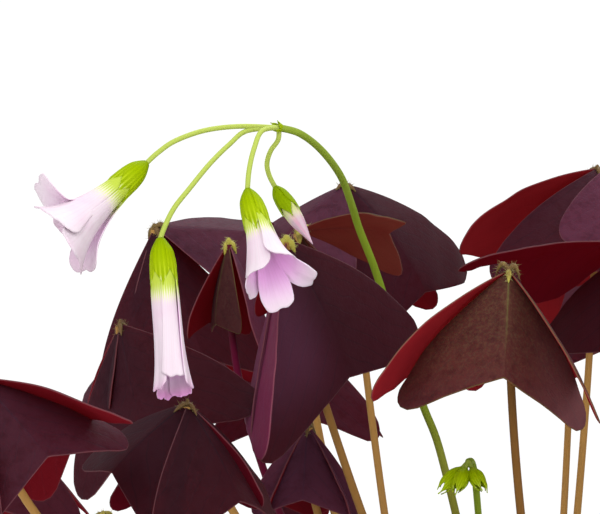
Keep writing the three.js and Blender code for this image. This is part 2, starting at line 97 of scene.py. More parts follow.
# crowns: where each tuft of leaves leaves the soil
CROWNS = [(2, 0), (11, -7), (-10, -7), (-7, 8), (9, 9)]

# name: hub, crown, lean, tint from brown 0 to blue-mauve 1, then one row a leaflet:
# azimuth, droop, roll, fold, size, bend, curl and half apex angle if not the usual
PLACED = {
    "a": ((-0.5, -44, 165.5), 1, 0, 0.12, [
        (-95.4, 50.1, -11.8, 28.6, 24.9, 19.5, 15.6), (152.7, 32.4, 2.7, 4, 27.8, 47.5, 5.5),
        (10.4, 49.6, 5.4, 4, 26.5, 21, 5.7)]),
    "b": ((-29.5, -34, 169.1), 0, 0.26, 0.35, [
        (3, 60.2, 44, 5, 32.5, 22, 5), (86, 50, 0, 14, 17.5, 16, 14, 30),
        (184, 74.6, 11.3, 13.4, 37.3, 6, 10.8, 46)]),
    "c": ((-49.7, 18, 168.5), 3, 0, 0.6, [
        (-46, 57, 14, 18, 34.5, 14, 12, 43), (8, 0.5, 25, 14, 26.9, 10, 14.6),
        (165, 66, 0, 20, 22, 15, 15, 34)]),
    "d": ((-52, -30, 157.5), 2, 0, 0.2, [
        (-78, 50, 45, 14, 26.3, 24.9, 7), (45, 42, 0, 18, 26, 15, 15),
        (174, 74, 0, 18, 16, 12, 15, 30)]),
    "e": ((-67.5, -66, 153.5), 2, 0.08, 0.3, [
        (-38, 33.3, 29.4, 15.7, 22.5, 21.8, 20), (24, 17, -30, 16, 23, 22, 18),
        (-150, 50, 0, 20, 28, 15, 15)]),
    "f": ((-42.1, -52, 148.9), 2, 0.08, 0.25, [
        (-162, 34, -22, 14, 20.5, 24, 15), (-32, 50, 4, 14, 22.7, 22, 15.8),
        (95, 60, 0, 20, 18, 15, 15)]),
    "g": ((-38, -1, 167.2), 3, 0, 0.4, [
        (-148, 72, 6, 14, 19, 22, 16, 30), (-8, 62, -8, 10, 26.5, 10, 10, 37),
        (130, 64, 0, 20, 20, 15, 15, 34)]),
    "h": ((-26.6, -15, 142.1), 0, 0.08, 0.7, [
        (-97.3, 53.9, -0.9, 14.3, 17.8, 20, 15, 42), (25, 55, 0, 20, 20, 15, 15, 42),
        (145, 60, 0, 20, 20, 15, 15, 42)]),
    "i": ((-20.5, 36, 174.5), 3, 0.24, 0.85, [
        (-25, 37.8, 25.7, 12, 33.5, 55.4, 21.8), (-144.4, 28.3, -8.4, 15.3, 27.3, 20.8, 14.3),
        (95, 45, 0, 20, 28, 15, 15)]),
    "j": ((19, 36, 177), 4, 0.08, 0.75, [
        (-80, 39.6, -17.3, 11.2, 32.9, 18.1, 15.5), (171.9, 35.2, 29, 5, 33.1, 30.9, 11.9),
        (40, 40, 0, 20, 28, 15, 15)]),
    "k": ((22, 18, 180), 1, 0.08, 0.7, [
        (-80.5, 39.2, -26.1, 16.4, 28, 14.6, 14.9, 44), (22, 34, 0, 22, 23, 18, 18, 44),
        (-32, 42, 0, 22, 24, 18, 18, 44)]),
    "l": ((20, -15, 167.5), 1, -0.35, 0.45, [
        (-150, 60, -22, 15, 25.2, 32, 18), (156.4, -2.2, 11.5, 4.4, 29.4, 37, 7.9),
        (10, 40, 0, 20, 26, 15, 15)]),
    "u": ((-28, 2, 168.6), 3, 0.08, 0.2, [
        (4, -12, -22, 5, 21.1, 45, 8), (58, 44, 0, 18, 18, 16, 14, 34),
        (-68, 72, 0, 16, 17, 14, 14, 34)]),
}

# leaflets that differ from their leaf's tint; above 1 they are rosy; the mauve of the second leaflets
# of c and i, which face up, is painted sheen
LEAFLET_TINTS_AND_SHEEN = {
    "b": (0.42, 0.3, 1.6), "c": (0.62, 0.95, 0.6), "d": (0.42, 0.4, 0.4), "e": (0.66, 0.6, 0.6),
    "f": (0.62, 0.5, 0.6), "g": (0.2, 1.3, 0.4), "h": (1.2, 1.2, 0.6), "i": (0.6, 0.95, 0.6),
    "j": (0.6, 0.6, 0.6), "k": (1.25, 0.6, 0.6), "l": (0.6, 0.4, 0.6)}
# how bright the crimson of a leaf's underside is, partly painted light and shade: brighter for leaves
# whose undersides catch the light, darker for those in shade, and below about 0.2 it also paints
# shade on the upper side; one value also marks the leaf with a mauve half
MAUVE_HALF = 0.62
USUAL_CRIMSON_LIGHT = 0.4
CRIMSON_LIGHT_AND_SHADE = {"a": 1.0, "b": MAUVE_HALF, "f": 0.155, "g": 0.5, "j": 1.0, "k": 1.0, "l": 0.12, "u": 0.0}
# leaf stalks whose colour is set: from gold 0 to tan 1, and above 1 red
STALK_TINTS = {"a": 0.78, "b": 0.5, "d": 0.4, "f": 0.2, "g": 1.9}

# joints of a hub: how high they arch over its middle, their tint from lime 0 to brown 1 and girth
HUBS = {
    "a": (1.3, 0.85, 0.6), "b": (0.5, 0.15, 0.9), "c": (0.25, 0.95, 0.75), "d": (0.2, 1.0, 0.5),
    "f": (0.3, 1.0, 0.5), "g": (0.35, 0.25, 0.7), "h": (0.25, 0.95, 0.5), "i": (0.25, 0.95, 0.6),
    "j": (0.25, 0.95, 0.6), "k": (0.25, 0.95, 0.6), "l": (0.3, 0.95, 0.6)}
USUAL_HUB = (0.35, 0.5, 0.85)
LIME_JOINT = ("a", 0, 0.45)  # leaf, leaflet and tint of the one joint that stays lime
# a hub's knob: height over the hub and radius; each joint on it: way along its leaflet and radius
HUB_KNOB = [(-1.3, 0.2), (-0.9, 0.5), (-0.3, 0.62), (0.1, 0.6), (0.4, 0.42), (0.6, 0.12)]
HUB_JOINT = [(0.1, 0.35), (0.4, 0.5), (0.75, 0.6), (1.1, 0.6), (1.45, 0.48), (1.8, 0.3),
             (2.15, 0.1)]

# the rest follow the ordinary three-way pattern: hub, crown, azimuth, droop, size, lean
ORDINARY = {
    "m": ((-50, 46, 154), 3, 170, 36, 27, 0.08),
    "n": ((-29, 62, 149), 3, 152, 38, 27, 0.2),
    "o": ((18, 66, 159.5), 4, 60, 38, 27, 0.08),
    "p": ((48, 42, 158), 4, 45, 38, 28, 0.08),
    "q": ((64, 8, 152), 4, 10, 38, 28, 0.08),
    "r": ((60, -30, 146), 1, -20, 40, 28, 0.08),
    "s": ((36, -54, 138), 1, -60, 40, 27, 0.08),
    "t": ((-74, 4, 142), 2, 160, 38, 27, 0.08),
    "v": ((44.5, -5, 165), 4, -20, 38, 25, 0.08),
    "w": ((52, -6, 124), 1, -5, 32, 24, 0.08),
    "x": ((32, 50, 126), 4, 70, 31, 24, 0.08),
    "y": ((-28, 48, 124), 3, 110, 31, 24, 0.08),
    "z": ((-58, 24, 124), 2, 150, 31, 24, 0.08),
    "aa": ((-58, -29, 121), 2, -155, 31, 24, 0.08),
    "bb": ((-22, -66, 121), 2, -110, 31, 24, 0.08),
    "cc": ((14, -62, 124), 1, -85, 31, 24, 0.08),
}

# flower clusters: main stalk from the soil to the arched tip, then each flower's own stalk,
# the way that it faces and its kind
CLUSTERS = {
    "front": {
        "stalk": [(-1, -7.5, 80), (-1.5, -7, 100), (-3.2, -6.5, 118), (-7.4, -7, 136.6),
                  (-10.2, -9, 144.3), (-14.3, -13, 155.3), (-17.2, -15.5, 164),
                  (-19.4, -18, 169.6), (-20.7, -21.5, 173.6), (-22.2, -26, 177.4),
                  (-24.8, -31, 180.9), (-27.7, -35, 183.2), (-30.5, -36, 184)],
        "flowers": {
            "open_low": ([(-31, -37, 184.4), (-35.6, -39, 184.2), (-40.1, -42.5, 183.7),
                          (-43.8, -45.5, 182.4), (-46, -47.1, 180.9), (-47.5, -48, 179.5)],
                         (-10.7, -8, -9.7), "funnel"),
            "tube": ([(-31.5, -37, 184), (-34.7, -38.5, 183.6), (-36.9, -41, 181.9),
                      (-39.4, -44.5, 179.4), (-41.9, -48.3, 176.3), (-43.7, -50.5, 174),
                      (-44.8, -51.6, 171.9), (-45.5, -52, 170)], (2, -6, -19.2), "tube"),
            "open_front": ([(-31.5, -37.8, 184.6), (-32.7, -39.8, 183.6), (-33.7, -42.6, 181.3),
                            (-34.3, -44.8, 178.6), (-34.5, -46, 176)], (3.8, -10, -12.2), "bell"),
            "bud": ([(-30.1, -35.9, 183.6), (-30.6, -35.6, 182.4), (-31.6, -35.2, 180.9),
                     (-32.1, -34.6, 179.2), (-31.8, -34, 177.6), (-31, -33.5, 176)],
                    (4.7, -5.5, -6.9), "bud"),
        },
    },
    "back": {
        "stalk": [(2, 8, 80), (8, 11, 104), (20, 17, 128), (34, 21, 158), (39, 21, 174),
                  (42, 21, 181), (46, 24, 185), (50, 26, 186)],
        "flowers": {
            "open_back": ([(50, 26, 186), (55, 28, 186.5), (60, 31, 184), (62, 33, 180)],
                          (7, 5, -10), "funnel"),
            "tube_back": ([(50, 26, 186), (53, 22, 186), (57, 17, 183), (59, 14, 179)],
                          (4, -5, -17), "tube"),
            "bud_back": ([(50, 26, 186), (49, 31, 186), (49, 36, 184), (50, 39, 180.5)],
                         (1, 3, -8.5), "bud"),
        },
    },
}
YOUNG_STALK = [(4, -9, 80), (2, -13, 100), (-2, -20, 122), (-4, -29, 137), (-5, -32, 139)]
YOUNG_BUDS = [(-2.2, -4.6, -4.4), (1.8, -4.2, -3.6), (-3.4, -1.8, -3.2)]

# outlines round a flower's axis: way along, radius
CALYX = [(0, 0.42), (0.6, 0.8), (1.6, 1.3), (3.0, 1.58), (5.0, 1.72), (7.0, 1.78)]
BUD = [(1.1, 0.4), (3, 0.98), (5.0, 1.08), (6.4, 0.94), (8.0, 0.6), (9.6, 0.24), (10.5, 0.06)]
# open flowers: blush is how deeply the inside is coloured, lobe and square shape a petal's free
# end, width is how far it widens, twist and turn, in degrees, are how the five wind and stand;
# petals: how much longer than usual each of the five is, how far its free end bends out and back
COROLLAS = {
    "funnel": {
        "path": [(1.1, 0.4), (3, 1.3), (6.4, 1.7), (8.4, 2), (11.2, 2.7), (14, 3.7), (16.1, 4.7)],
        "blush": 0.4, "lobe": 1.9, "square": 5.5, "width": 1.65, "twist": 6, "turn": 0,
        "petals": [(0, 3.4, 4), (-2.8, 0.2, 0), (-0.2, 0.9, 0), (1.9, 0.9, 0), (0.8, 0.9, 0)]},
    "bell": {
        "path": [(1.1, 0.4), (3, 1.3), (6.4, 1.6), (8.4, 1.8), (11, 2.3), (13.6, 3), (16, 3.9)],
        "blush": 1.0, "lobe": 3.0, "square": 3.2, "width": 1.42, "twist": 8, "turn": -20,
        "petals": [(-0.8, 0, 0), (0.7, 0.5, 0), (-0.2, 1.8, 0.7), (-2, 0.3, 0), (-1, 0, 0)]},
    "tube": {
        "path": [(1.1, 0.4), (3, 1.3), (6.4, 1.6), (9, 1.65), (14, 1.75), (17.5, 1.9), (20.2, 2.1)],
        "blush": 1.0, "lobe": 0.7, "square": 3, "width": 1.3, "twist": 25, "turn": 0,
        "petals": [(0.2, 0.2, 0), (0.1, 0, 0), (-0.5, 0.25, 0), (-1.6, 0, 0), (-0.5, 0.25, 0)]},
}
# where a petal's free end starts
THROAT = 6.4
# length and girth of an open flower's calyx and of a bud's, and half a sepal's width in degrees
OPEN_CALYX = (6.8, 1)
BUD_CALYX = (5.4, 0.9)
SEPAL_HALF = 46
STAMEN_TOPS = (7.0, 8.6)
# the length that counts as 1 along a flower's petals, and along a bud's
PETAL_SPAN = 16.0
BUD_SPAN = 12.0

# grains strewn over the soil: how many on a square metre, size in crumbs, flatness and seed
GRAINS = {"crumbs": (520e3, 1.0, 1.0, 3), "bark": (45e3, 1.9, 0.35, 5),
          "perlite": (26e3, 1.2, 1.0, 8)}
SOIL_SIDES = 120
POT_SIDES = 144
HAIRS_PER_SQUARE_METRE = 9e6
HAIR_RADIUS = 0.028

# rows from hub to margin and columns from midrib to edge, of a leaf in full view and of the others
NEAR_GRID = (26, 20)
FAR_GRID = (20, 15)

# camera: looks level across the flowering side
FOCUS = Vector((-27.7, -30.0, 166.5)) * MM
VIEW_DISTANCE = 400 * MM
VIEW_RISE = math.radians(3)
SEEN_WIDTH = 81 * MM
SENSOR = 36.0

# lamps: where each stands, how many degrees across it looks and its strength
LAMPS = {"key": ((-0.35, -0.9, 0.8), 40, 2.2), "fill": ((0.8, -0.6, 0.35), 60, 0.9),
         "back": ((0.3, 0.8, 0.9), 50, 2.0)}
WHITE = (1.0, 1.0, 1.0)
BACKDROP_STRENGTH = 1.05
ROOM_STRENGTH = 0.74
FLOOR_REACH = 0.9
FLOOR_DROP = 0.0005


# ---------- numbers and curves ----------
class Draws:
    """Seeded draws, each between -spread and +spread."""

    PACE = 16807
    SPAN = 2147483647

    def __init__(self, seed):
        self.value = seed

    def __call__(self, spread):
        self.value = self.value * self.PACE % self.SPAN
        return (2 * self.value / self.SPAN - 1) * spread


def draws_for(name, pace, start):
    """Draws whose seed comes from a name."""
    return Draws(sum(ord(letter) for letter in name) * pace + start)


def array(values):
    return np.asarray(values, dtype=float)


def unit(vector):
    vector = array(vector)
    return vector / np.linalg.norm(vector, axis=-1, keepdims=True)


def ease(value, low, high):
    """0 below low, 1 above high, smooth between."""
    t = np.clip((value - low) / (high - low), 0, 1)
    return t * t * (3 - 2 * t)


def dense_ends(count, pull=0.85):
    """Stops from 0 to 1, closer together at both ends."""
    x = np.linspace(0, 1, count)
    return x - pull * np.sin(2 * np.pi * x) / (2 * np.pi)


def full_turn(count):
    """Even stops round a circle, in radians."""
    return np.linspace(0, 2 * np.pi, count, endpoint=False)


def through(points, steps):
    """Smooth row of points through the given ones."""
    p = array(points)
    ends = np.vstack([p[:1], p, p[-1:]])
    rows = []
    for i in range(len(p) - 1):
        a, b, c, d = ends[i:i + 4]
        for t in np.arange(steps) / steps:
            h = t * t * (3 - 2 * t)
            lean = (c - a) / 2 * t * (1 - t) ** 2 - (d - b) / 2 * t * t * (1 - t)
            rows.append(b * (1 - h) + c * h + lean)
    rows.append(p[-1])
    return array(rows)


def radius_at(path, t):
    """Radius of an outline at t, smooth between its points."""
    stops, radii = (array(column) for column in zip(*path))
    slopes = np.gradient(radii, stops)
    t = np.clip(t, stops[0], stops[-1])
    i = np.clip(np.searchsorted(stops, t) - 1, 0, len(stops) - 2)
    step = stops[i + 1] - stops[i]
    x = (t - stops[i]) / step
    return (radii[i] * (1 + 2 * x) * (1 - x) ** 2 + radii[i + 1] * x * x * (3 - 2 * x)
            + slopes[i] * step * x * (1 - x) ** 2 - slopes[i + 1] * step * x * x * (1 - x))


def waves(x, y, draw, count, length):
    """Gentle uneven relief between about -1 and 1, with waves of about the given length."""
    total = 0
    for _ in range(count):
        turn = draw(math.pi)
        pitch = 2 * math.pi / (length * (1 + draw(0.4)))
        total = total + np.sin(pitch * (x * math.cos(turn) + y * math.sin(turn)) + draw(math.pi))
    return total / math.sqrt(2 * count)


# ---------- meshes ----------
class Solid:
    """Points in millimetres, faces and named point values that become one mesh."""

    def __init__(self):
        self.points = []
        self.faces = []
        self.values = {}
        self.count = 0

    def add(self, points, faces, **values):
        points = array(points).reshape(-1, 3)
        self.faces += [tuple(i + self.count for i in face) for face in faces]
        for name, value in values.items():
            column = np.broadcast_to(array(value), (len(points),))
            self.values.setdefault(name, []).append(column)
        self.points.append(points)
        self.count += len(points)

    def build(self, name, material=None):
        mesh = bpy.data.meshes.new(name)
        mesh.from_pydata(np.vstack(self.points) * MM, [], self.faces)
        for label, columns in self.values.items():
            layer = mesh.attributes.new(label, "FLOAT", "POINT")
            layer.data.foreach_set("value", np.concatenate(columns))
        mesh.polygons.foreach_set("use_smooth", [True] * len(mesh.polygons))
        if material:
            mesh.materials.append(material)
        return place(name, mesh)


def place(name, mesh):
    piece = bpy.data.objects.new(name, mesh)
    bpy.context.scene.collection.objects.link(piece)
    return piece


def sheet_faces(rows, cols):
    """Faces of a thin closed sheet: the upper grid's points come first, then the lower grid's."""
    half = rows * cols
    faces = []
    for i in range(rows - 1):
        for j in range(cols - 1):
            a = i * cols + j
            quad = (a, a + cols, a + cols + 1, a + 1)
            faces.append(quad)
            faces.append(tuple(k + half for k in reversed(quad)))
    rim = [i * cols for i in range(rows - 1)]
    rim += [(rows - 1) * cols + j for j in range(cols - 1)]
    rim += [i * cols + cols - 1 for i in range(rows - 1, 0, -1)]
    rim += list(range(cols - 1, 0, -1))
    for a, b in zip(rim, rim[1:] + rim[:1]):
        faces.append((a + half, b + half, b, a))
    return faces


def across_normals(grid):
    down = np.gradient(grid, axis=0)
    side = np.gradient(grid, axis=1)
    return unit(np.cross(down, side))


def add_sheet(solid, grid, above, below, **values):
    """Adds a closed sheet round a grid; a value is one array for it or an (upper, lower) pair."""
    rows, cols = grid.shape[:2]
    normals = across_normals(grid)
    upper = grid + normals * np.broadcast_to(above, (rows, cols))[..., None]
    lower = grid - normals * np.broadcast_to(below, (rows, cols))[..., None]
    columns = {}
    for name, value in values.items():
        pair = value if isinstance(value, tuple) else (value, value)
        columns[name] = np.concatenate([np.broadcast_to(v, (rows, cols)).ravel() for v in pair])
    points = np.vstack([upper.reshape(-1, 3), lower.reshape(-1, 3)])
    solid.add(points, sheet_faces(rows, cols), **columns)


def add_turned(solid, rings, foot, tip, **values):
    """Adds a closed body from rings of points, with a pole at each end."""
    count, sides = rings.shape[:2]
    last = (count - 1) * sides
    foot_at = count * sides
    faces = []
    for k in range(sides):
        n = (k + 1) % sides
        for i in range(count - 1):
            a, b = i * sides + k, i * sides + n
            faces.append((a, b, b + sides, a + sides))
        faces.append((foot_at, n, k))
        faces.append((foot_at + 1, last + k, last + n))
    columns = {}
    for name, value in values.items():
        ring_values = np.broadcast_to(value, (count, sides))
        ends = [ring_values[0, 0], ring_values[-1, 0]]
        columns[name] = np.concatenate([ring_values.ravel(), ends])
    solid.add(np.vstack([rings.reshape(-1, 3), [foot, tip]]), faces, **columns)


def revolved(profile, sides):
    """Rings round the Z axis for an outline of (radius, z)."""
    turn = full_turn(sides)
    radius, z = (column[:, None] for column in array(profile).T)
    return np.stack([radius * np.cos(turn), radius * np.sin(turn), z + 0 * turn], axis=-1)


def lines(paths):
    """Loose polylines in one mesh; each path is (points, {name: values})."""
    mesh = bpy.data.meshes.new("lines")
    points = np.vstack([path for path, _ in paths]) * MM
    edges = []
    start = 0
    for path, _ in paths:
        edges += [(start + i, start + i + 1) for i in range(len(path) - 1)]
        start += len(path)
    mesh.from_pydata(points, edges, [])
    for label in paths[0][1]:
        layer = mesh.attributes.new(label, "FLOAT", "POINT")
        column = [np.broadcast_to(array(values[label]), (len(path),)) for path, values in paths]
        layer.data.foreach_set("value", np.concatenate(column))
    return mesh


# ---------- node trees ----------
def joined_by(operation, swapped=False):
    """A method that joins a term and another value in a Math node."""
    def join(term, other):
        pair = (other, term) if swapped else (term, other)
        return term.wiring.maths(operation, *pair)
    return join


class Term:
    """A node's output that takes part in Python arithmetic."""

    __add__ = __radd__ = joined_by("ADD")
    __sub__ = joined_by("SUBTRACT")
    __rsub__ = joined_by("SUBTRACT", swapped=True)
    __mul__ = __rmul__ = joined_by("MULTIPLY")
    __truediv__ = joined_by("DIVIDE")
    __rtruediv__ = joined_by("DIVIDE", swapped=True)
    __pow__ = joined_by("POWER")

    def __init__(self, wiring, socket):
        self.wiring = wiring
        self.socket = socket

    def __abs__(self):
        return self.wiring.maths("ABSOLUTE", self)

    def also(self, out):
        """Another output of the same node."""
        return Term(self.wiring, self.socket.node.outputs[out])


def rgb(colour):
    """A colour as a socket takes it; a node's output stays as it is."""
    return colour if isinstance(colour, Term) else (*colour[:3], 1.0)


def dim(colour, share):
    return [channel * share for channel in colour]


class Wiring:
    """Adds nodes to a tree, each with one call."""

    def __init__(self, tree):
        self.tree = tree

    def node(self, kind, settings=None, inputs=None, out=0):
        new = self.tree.nodes.new(kind)
        for name, value in (settings or {}).items():
            setattr(new, name, value)
        for key, value in (inputs or {}).items():
            if isinstance(value, Term):
                self.tree.links.new(value.socket, new.inputs[key])
            else:
                new.inputs[key].default_value = value
        return Term(self, new.outputs[out]) if new.outputs else None

    def maths(self, operation, *terms):
        return self.node("ShaderNodeMath", {"operation": operation}, dict(enumerate(terms)))

    def mix_shaders(self, share, first, second):
        return self.node("ShaderNodeMixShader", inputs={0: share, 1: first, 2: second})


class Recipe(Wiring):
    """A material written as calls."""

    def __init__(self, name):
        self.material = bpy.data.materials.new(name)
        self.material.use_nodes = True
        super().__init__(self.material.node_tree)
        self.tree.nodes.clear()

    def point(self):
        return self.node("ShaderNodeTexCoord", out="Object")

    def value(self, name):
        return self.node("ShaderNodeAttribute", {"attribute_name": name}, out="Fac")

    def noise(self, scale, detail, stretch=None, rough=0.5):
        where = self.point()
        if stretch:
            where = self.node("ShaderNodeMapping", inputs={"Vector": where, "Scale": stretch})
        inputs = {"Vector": where, "Scale": scale, "Detail": detail, "Roughness": rough}
        return self.node("ShaderNodeTexNoise", inputs=inputs)

    def cells(self, scale, feature="DISTANCE_TO_EDGE"):
        inputs = {"Vector": self.point(), "Scale": scale}
        return self.node("ShaderNodeTexVoronoi", {"feature": feature}, inputs)

    def between(self, value, low, high):
        """0 below low and 1 above high, smooth between."""
        inputs = {"Value": value, "From Min": low, "From Max": high}
        return self.node("ShaderNodeMapRange", {"interpolation_type": "SMOOTHSTEP"}, inputs)

    def peak(self, value, width):
        """1 where value is 0, falling off over the given width."""
        return 1 / (1 + (value / width) ** 2)

    def stripes(self, value, low, high):
        """A stripe for each whole step of value; low and high are ways from its middle."""
        return self.between(abs(self.maths("FRACT", value) - 0.5), low, high)

    def blend(self, factor, first, second):
        inputs = {0: factor, 6: rgb(first), 7: rgb(second)}
        return self.node("ShaderNodeMix", {"data_type": "RGBA"}, inputs, out=2)

    def layers(self, skin, *coats):
        """A colour with coats over it, each (how much, colour)."""
        for factor, coat in coats:
            skin = self.blend(factor, skin, coat)
        return skin

    def bump(self, height, strength, distance):
        inputs = {"Height": height, "Strength": strength, "Distance": distance}
        return self.node("ShaderNodeBump", inputs=inputs)

    def principled(self, **inputs):
        named = {name.replace("_", " "): value for name, value in inputs.items()}
        return self.node("ShaderNodeBsdfPrincipled", inputs=named)

    def glow_through(self, shader, share, colour, *coats):
        """Lets light pass through a thin piece: its colour, with coats over it as in layers."""
        light = self.translucent(colour)
        for factor, coat in coats:
            light = self.mix_shaders(factor, light, self.translucent(coat))
        return self.mix_shaders(share, shader, light)

    def translucent(self, colour):
        return self.node("ShaderNodeBsdfTranslucent", inputs={"Color": rgb(colour)})

    def finish(self, shader):
        self.node("ShaderNodeOutputMaterial", inputs={"Surface": shader})
        return self.material


class GrowTree(Wiring):
    """A Geometry Nodes tree with named inputs, one of them its material."""

    def __init__(self, name, **sockets):
        super().__init__(bpy.data.node_groups.new(name, "GeometryNodeTree"))
        face = self.tree.interface
        face.new_socket("Geometry", in_out="INPUT", socket_type="NodeSocketGeometry")
        face.new_socket("Geometry", in_out="OUTPUT", socket_type="NodeSocketGeometry")
        self.ids = {}
        for label, kind in {**sockets, "Finish": "Material"}.items():
            item = face.new_socket(label, in_out="INPUT", socket_type="NodeSocket" + kind)
            self.ids[label] = item.identifier
        self.given = self.node("NodeGroupInput")

    def __getitem__(self, label):
        return self.given.also(label)

    def spots(self):
        """Points strewn over the given surface."""
        inputs = {"Mesh": self.given, "Density": self["Density"], "Seed": self["Seed"]}
        return self.node("GeometryNodeDistributePointsOnFaces", inputs=inputs)

    def random(self, low, high, seed):
        """A random vector for each point."""
        inputs = {0: low, 1: high, "Seed": seed}
        return self.node("FunctionNodeRandomValue", {"data_type": "FLOAT_VECTOR"}, inputs)

    def strew(self, spots, piece, turn, size):
        """Puts a turned and sized copy of a piece on each spot."""
        inputs = {"Points": spots, "Instance": piece, "Rotation": turn, "Scale": size}
        return self.node("GeometryNodeInstanceOnPoints", inputs=inputs)

    def close(self, geometry):
        """Ends the tree: instances made real, then the material."""
        real = self.node("GeometryNodeRealizeInstances", inputs={"Geometry": geometry})
        inputs = {"Geometry": real, "Material": self["Finish"]}
        done = self.node("GeometryNodeSetMaterial", inputs=inputs)
        self.node("NodeGroupOutput", inputs={0: done})

    def grow(self, name, mesh, **inputs):
        """Runs the tree on a mesh and returns the plain piece that it makes."""
        seedling = place(name + "_seed", mesh)
        modifier = seedling.modifiers.new("grow", "NODES")
        modifier.node_group = self.tree
        for label, value in inputs.items():
            modifier[self.ids[label]] = value
        depsgraph = bpy.context.evaluated_depsgraph_get()
        grown = bpy.data.meshes.new_from_object(
            seedling.evaluated_get(depsgraph), preserve_all_data_layers=True, depsgraph=depsgraph)
        seedling.modifiers.clear()
        bpy.data.objects.remove(seedling)
        grown.name = name
        return place(name, grown)


def stem_tree():
    """Round stems along polylines, as thick as each point's own thickness."""
    tree = GrowTree("stems", Sides="Int")
    curve = tree.node("GeometryNodeMeshToCurve", inputs={"Mesh": tree.given})
    inputs = {"Resolution": tree["Sides"], "Radius": 1.0}
    ring = tree.node("GeometryNodeCurvePrimitiveCircle", inputs=inputs)
    thickness = tree.node(
        "GeometryNodeInputNamedAttribute", {"data_type": "FLOAT"}, {"Name": "thickness"})
    inputs = {"Curve": curve, "Profile Curve": ring, "Scale": thickness, "Fill Caps": True}
    tube = tree.node("GeometryNodeCurveToMesh", inputs=inputs)
    tree.close(tree.node("GeometryNodeSetShadeSmooth", inputs={"Geometry": tube}))
    return tree


def hair_tree():
    """Fine tapered hairs standing out of a surface."""
    tree = GrowTree("hairs", Density="Float", Length="Float", Width="Float", Seed="Int")
    spots, seed = tree.spots(), tree["Seed"]
    inputs = {"Vertices": 4, "Radius Bottom": tree["Width"], "Depth": tree["Length"]}
    hair = tree.node("GeometryNodeMeshCone", inputs=inputs)
    inputs = {2: 0.45, 3: 1.1, "Seed": seed}
    size = tree.node("FunctionNodeRandomValue", {"data_type": "FLOAT"}, inputs, out=1)
    inputs = {"Instances": tree.strew(spots, hair, spots.also("Rotation"), size),
              "Rotation": tree.random((-0.7, -0.7, 0), (0.7, 0.7, 0), seed + 1)}
    tree.close(tree.node("GeometryNodeRotateInstances", inputs=inputs))
    return tree


def scatter_tree():
    """Irregular grains strewn over a surface."""
    tree = GrowTree("grains", Density="Float", Size="Float", Flatness="Float", Seed="Int")
    inputs = {"Radius": tree["Size"], "Subdivisions": 1}
    grain = tree.node("GeometryNodeMeshIcoSphere", inputs=inputs)
    turn = tree.random((-3.1, -3.1, -3.1), (3.1, 3.1, 3.1), tree["Seed"])
    shape = tree.random((0.35, 0.35, 0.25), (1.5, 1.0, 0.8), tree["Seed"] + 1)
    flat = tree.node("ShaderNodeCombineXYZ", inputs={"X": 1.0, "Y": 1.0, "Z": tree["Flatness"]})
    shape = tree.node("ShaderNodeVectorMath", {"operation": "MULTIPLY"}, {0: shape, 1: flat})
    tree.close(tree.strew(tree.spots(), grain, turn, shape))
    return tree


# ---------- leaves ----------
class Blade:
    """The curved sheet of one leaflet, from its size and its angles in degrees."""

    def __init__(self, hub, az, droop, roll, fold, size, bend, curl, apex=HALF_APEX):
        az, droop, roll, self.fold, bend, curl = np.radians([az, droop, roll, fold, bend, curl])
        self.hub, self.size, self.apex = array(hub), size, math.radians(apex)
        out = array([math.cos(az), math.sin(az), 0])
        side = array([-math.sin(az), math.cos(az), 0])
        up = array([0, 0, 1])
        self.ahead = out * math.cos(droop) - up * math.sin(droop)
        over = out * math.sin(droop) + up * math.cos(droop)
        self.sideways = side * math.cos(roll) + over * math.sin(roll)
        self.over = over * math.cos(roll) - side * math.sin(roll)
        self.bend, self.curl = bend / size, curl / (0.7 * size)

    def spread(self, s):
        return self.apex * (1.05 - 0.17 * s * s)

    def margin(self, v):
        """Far margin of a leaflet of size 1: two rounded lobes and a shallow notch."""
        x = np.abs(v)
        r = NOTCH * math.cos(FLARE) / np.cos(x * self.spread(1) + FLARE)
        lobe = np.maximum(0, (x - 0.72) / 0.28)
        return r * (1 - 0.27 * lobe * lobe)

    def flat(self, s, v):
        """Way along and across the unrolled leaflet: s from hub to margin, v from edge to edge."""
        r = LEAFLET_ROOT + (self.size * self.margin(v) - LEAFLET_ROOT) * s
        angle = self.spread(s) * v
        return r * np.cos(angle), r * np.sin(angle)

    def curved(self, a, b):
        """Place in space of a point of the unrolled leaflet."""
        k, c, q = self.bend, self.curl, np.abs(b)
        along = np.sin(k * a) / k
        sag = (1 - np.cos(k * a)) / k
        across = (np.sin(self.fold + c * q) - math.sin(self.fold)) / c * np.sign(b)
        drop = (math.cos(self.fold) - np.cos(self.fold + c * q)) / c
        facing = (self.ahead * np.sin(k * a)[..., None] + self.over * np.cos(k * a)[..., None])
        return (self.hub + self.ahead * along[..., None] - self.over * sag[..., None]
                + self.sideways * across[..., None] - facing * drop[..., None])


def plan_leaves():
    """Every leaf as name, hub, crown, lean, tint, neck and leaflets."""
    leaves = []
    for name, (hub, crown, lean, tint, leaflets) in PLACED.items():
        steep = max(leaflet[1] for leaflet in leaflets) > STEEP_DROOP
        leaves.append((name, hub, crown, lean, tint, NECK_LENGTH if steep else HUB_R, leaflets))
    for index, (name, (hub, crown, az, droop, size, lean)) in enumerate(ORDINARY.items()):
        d = Draws((len(PLACED) + index) * 977 + 31)
        leaflets = [
            (az + 120 * i + d(6), droop + d(5), d(6), 12 + d(4), size + d(1.5), 20 + d(5),
             15 + d(4), NARROW_APEX) for i in range(3)]
        leaves.append((name, hub, crown, lean, 0.5 + d(0.4), HUB_R, leaflets))
    return leaves


LEAVES = plan_leaves()


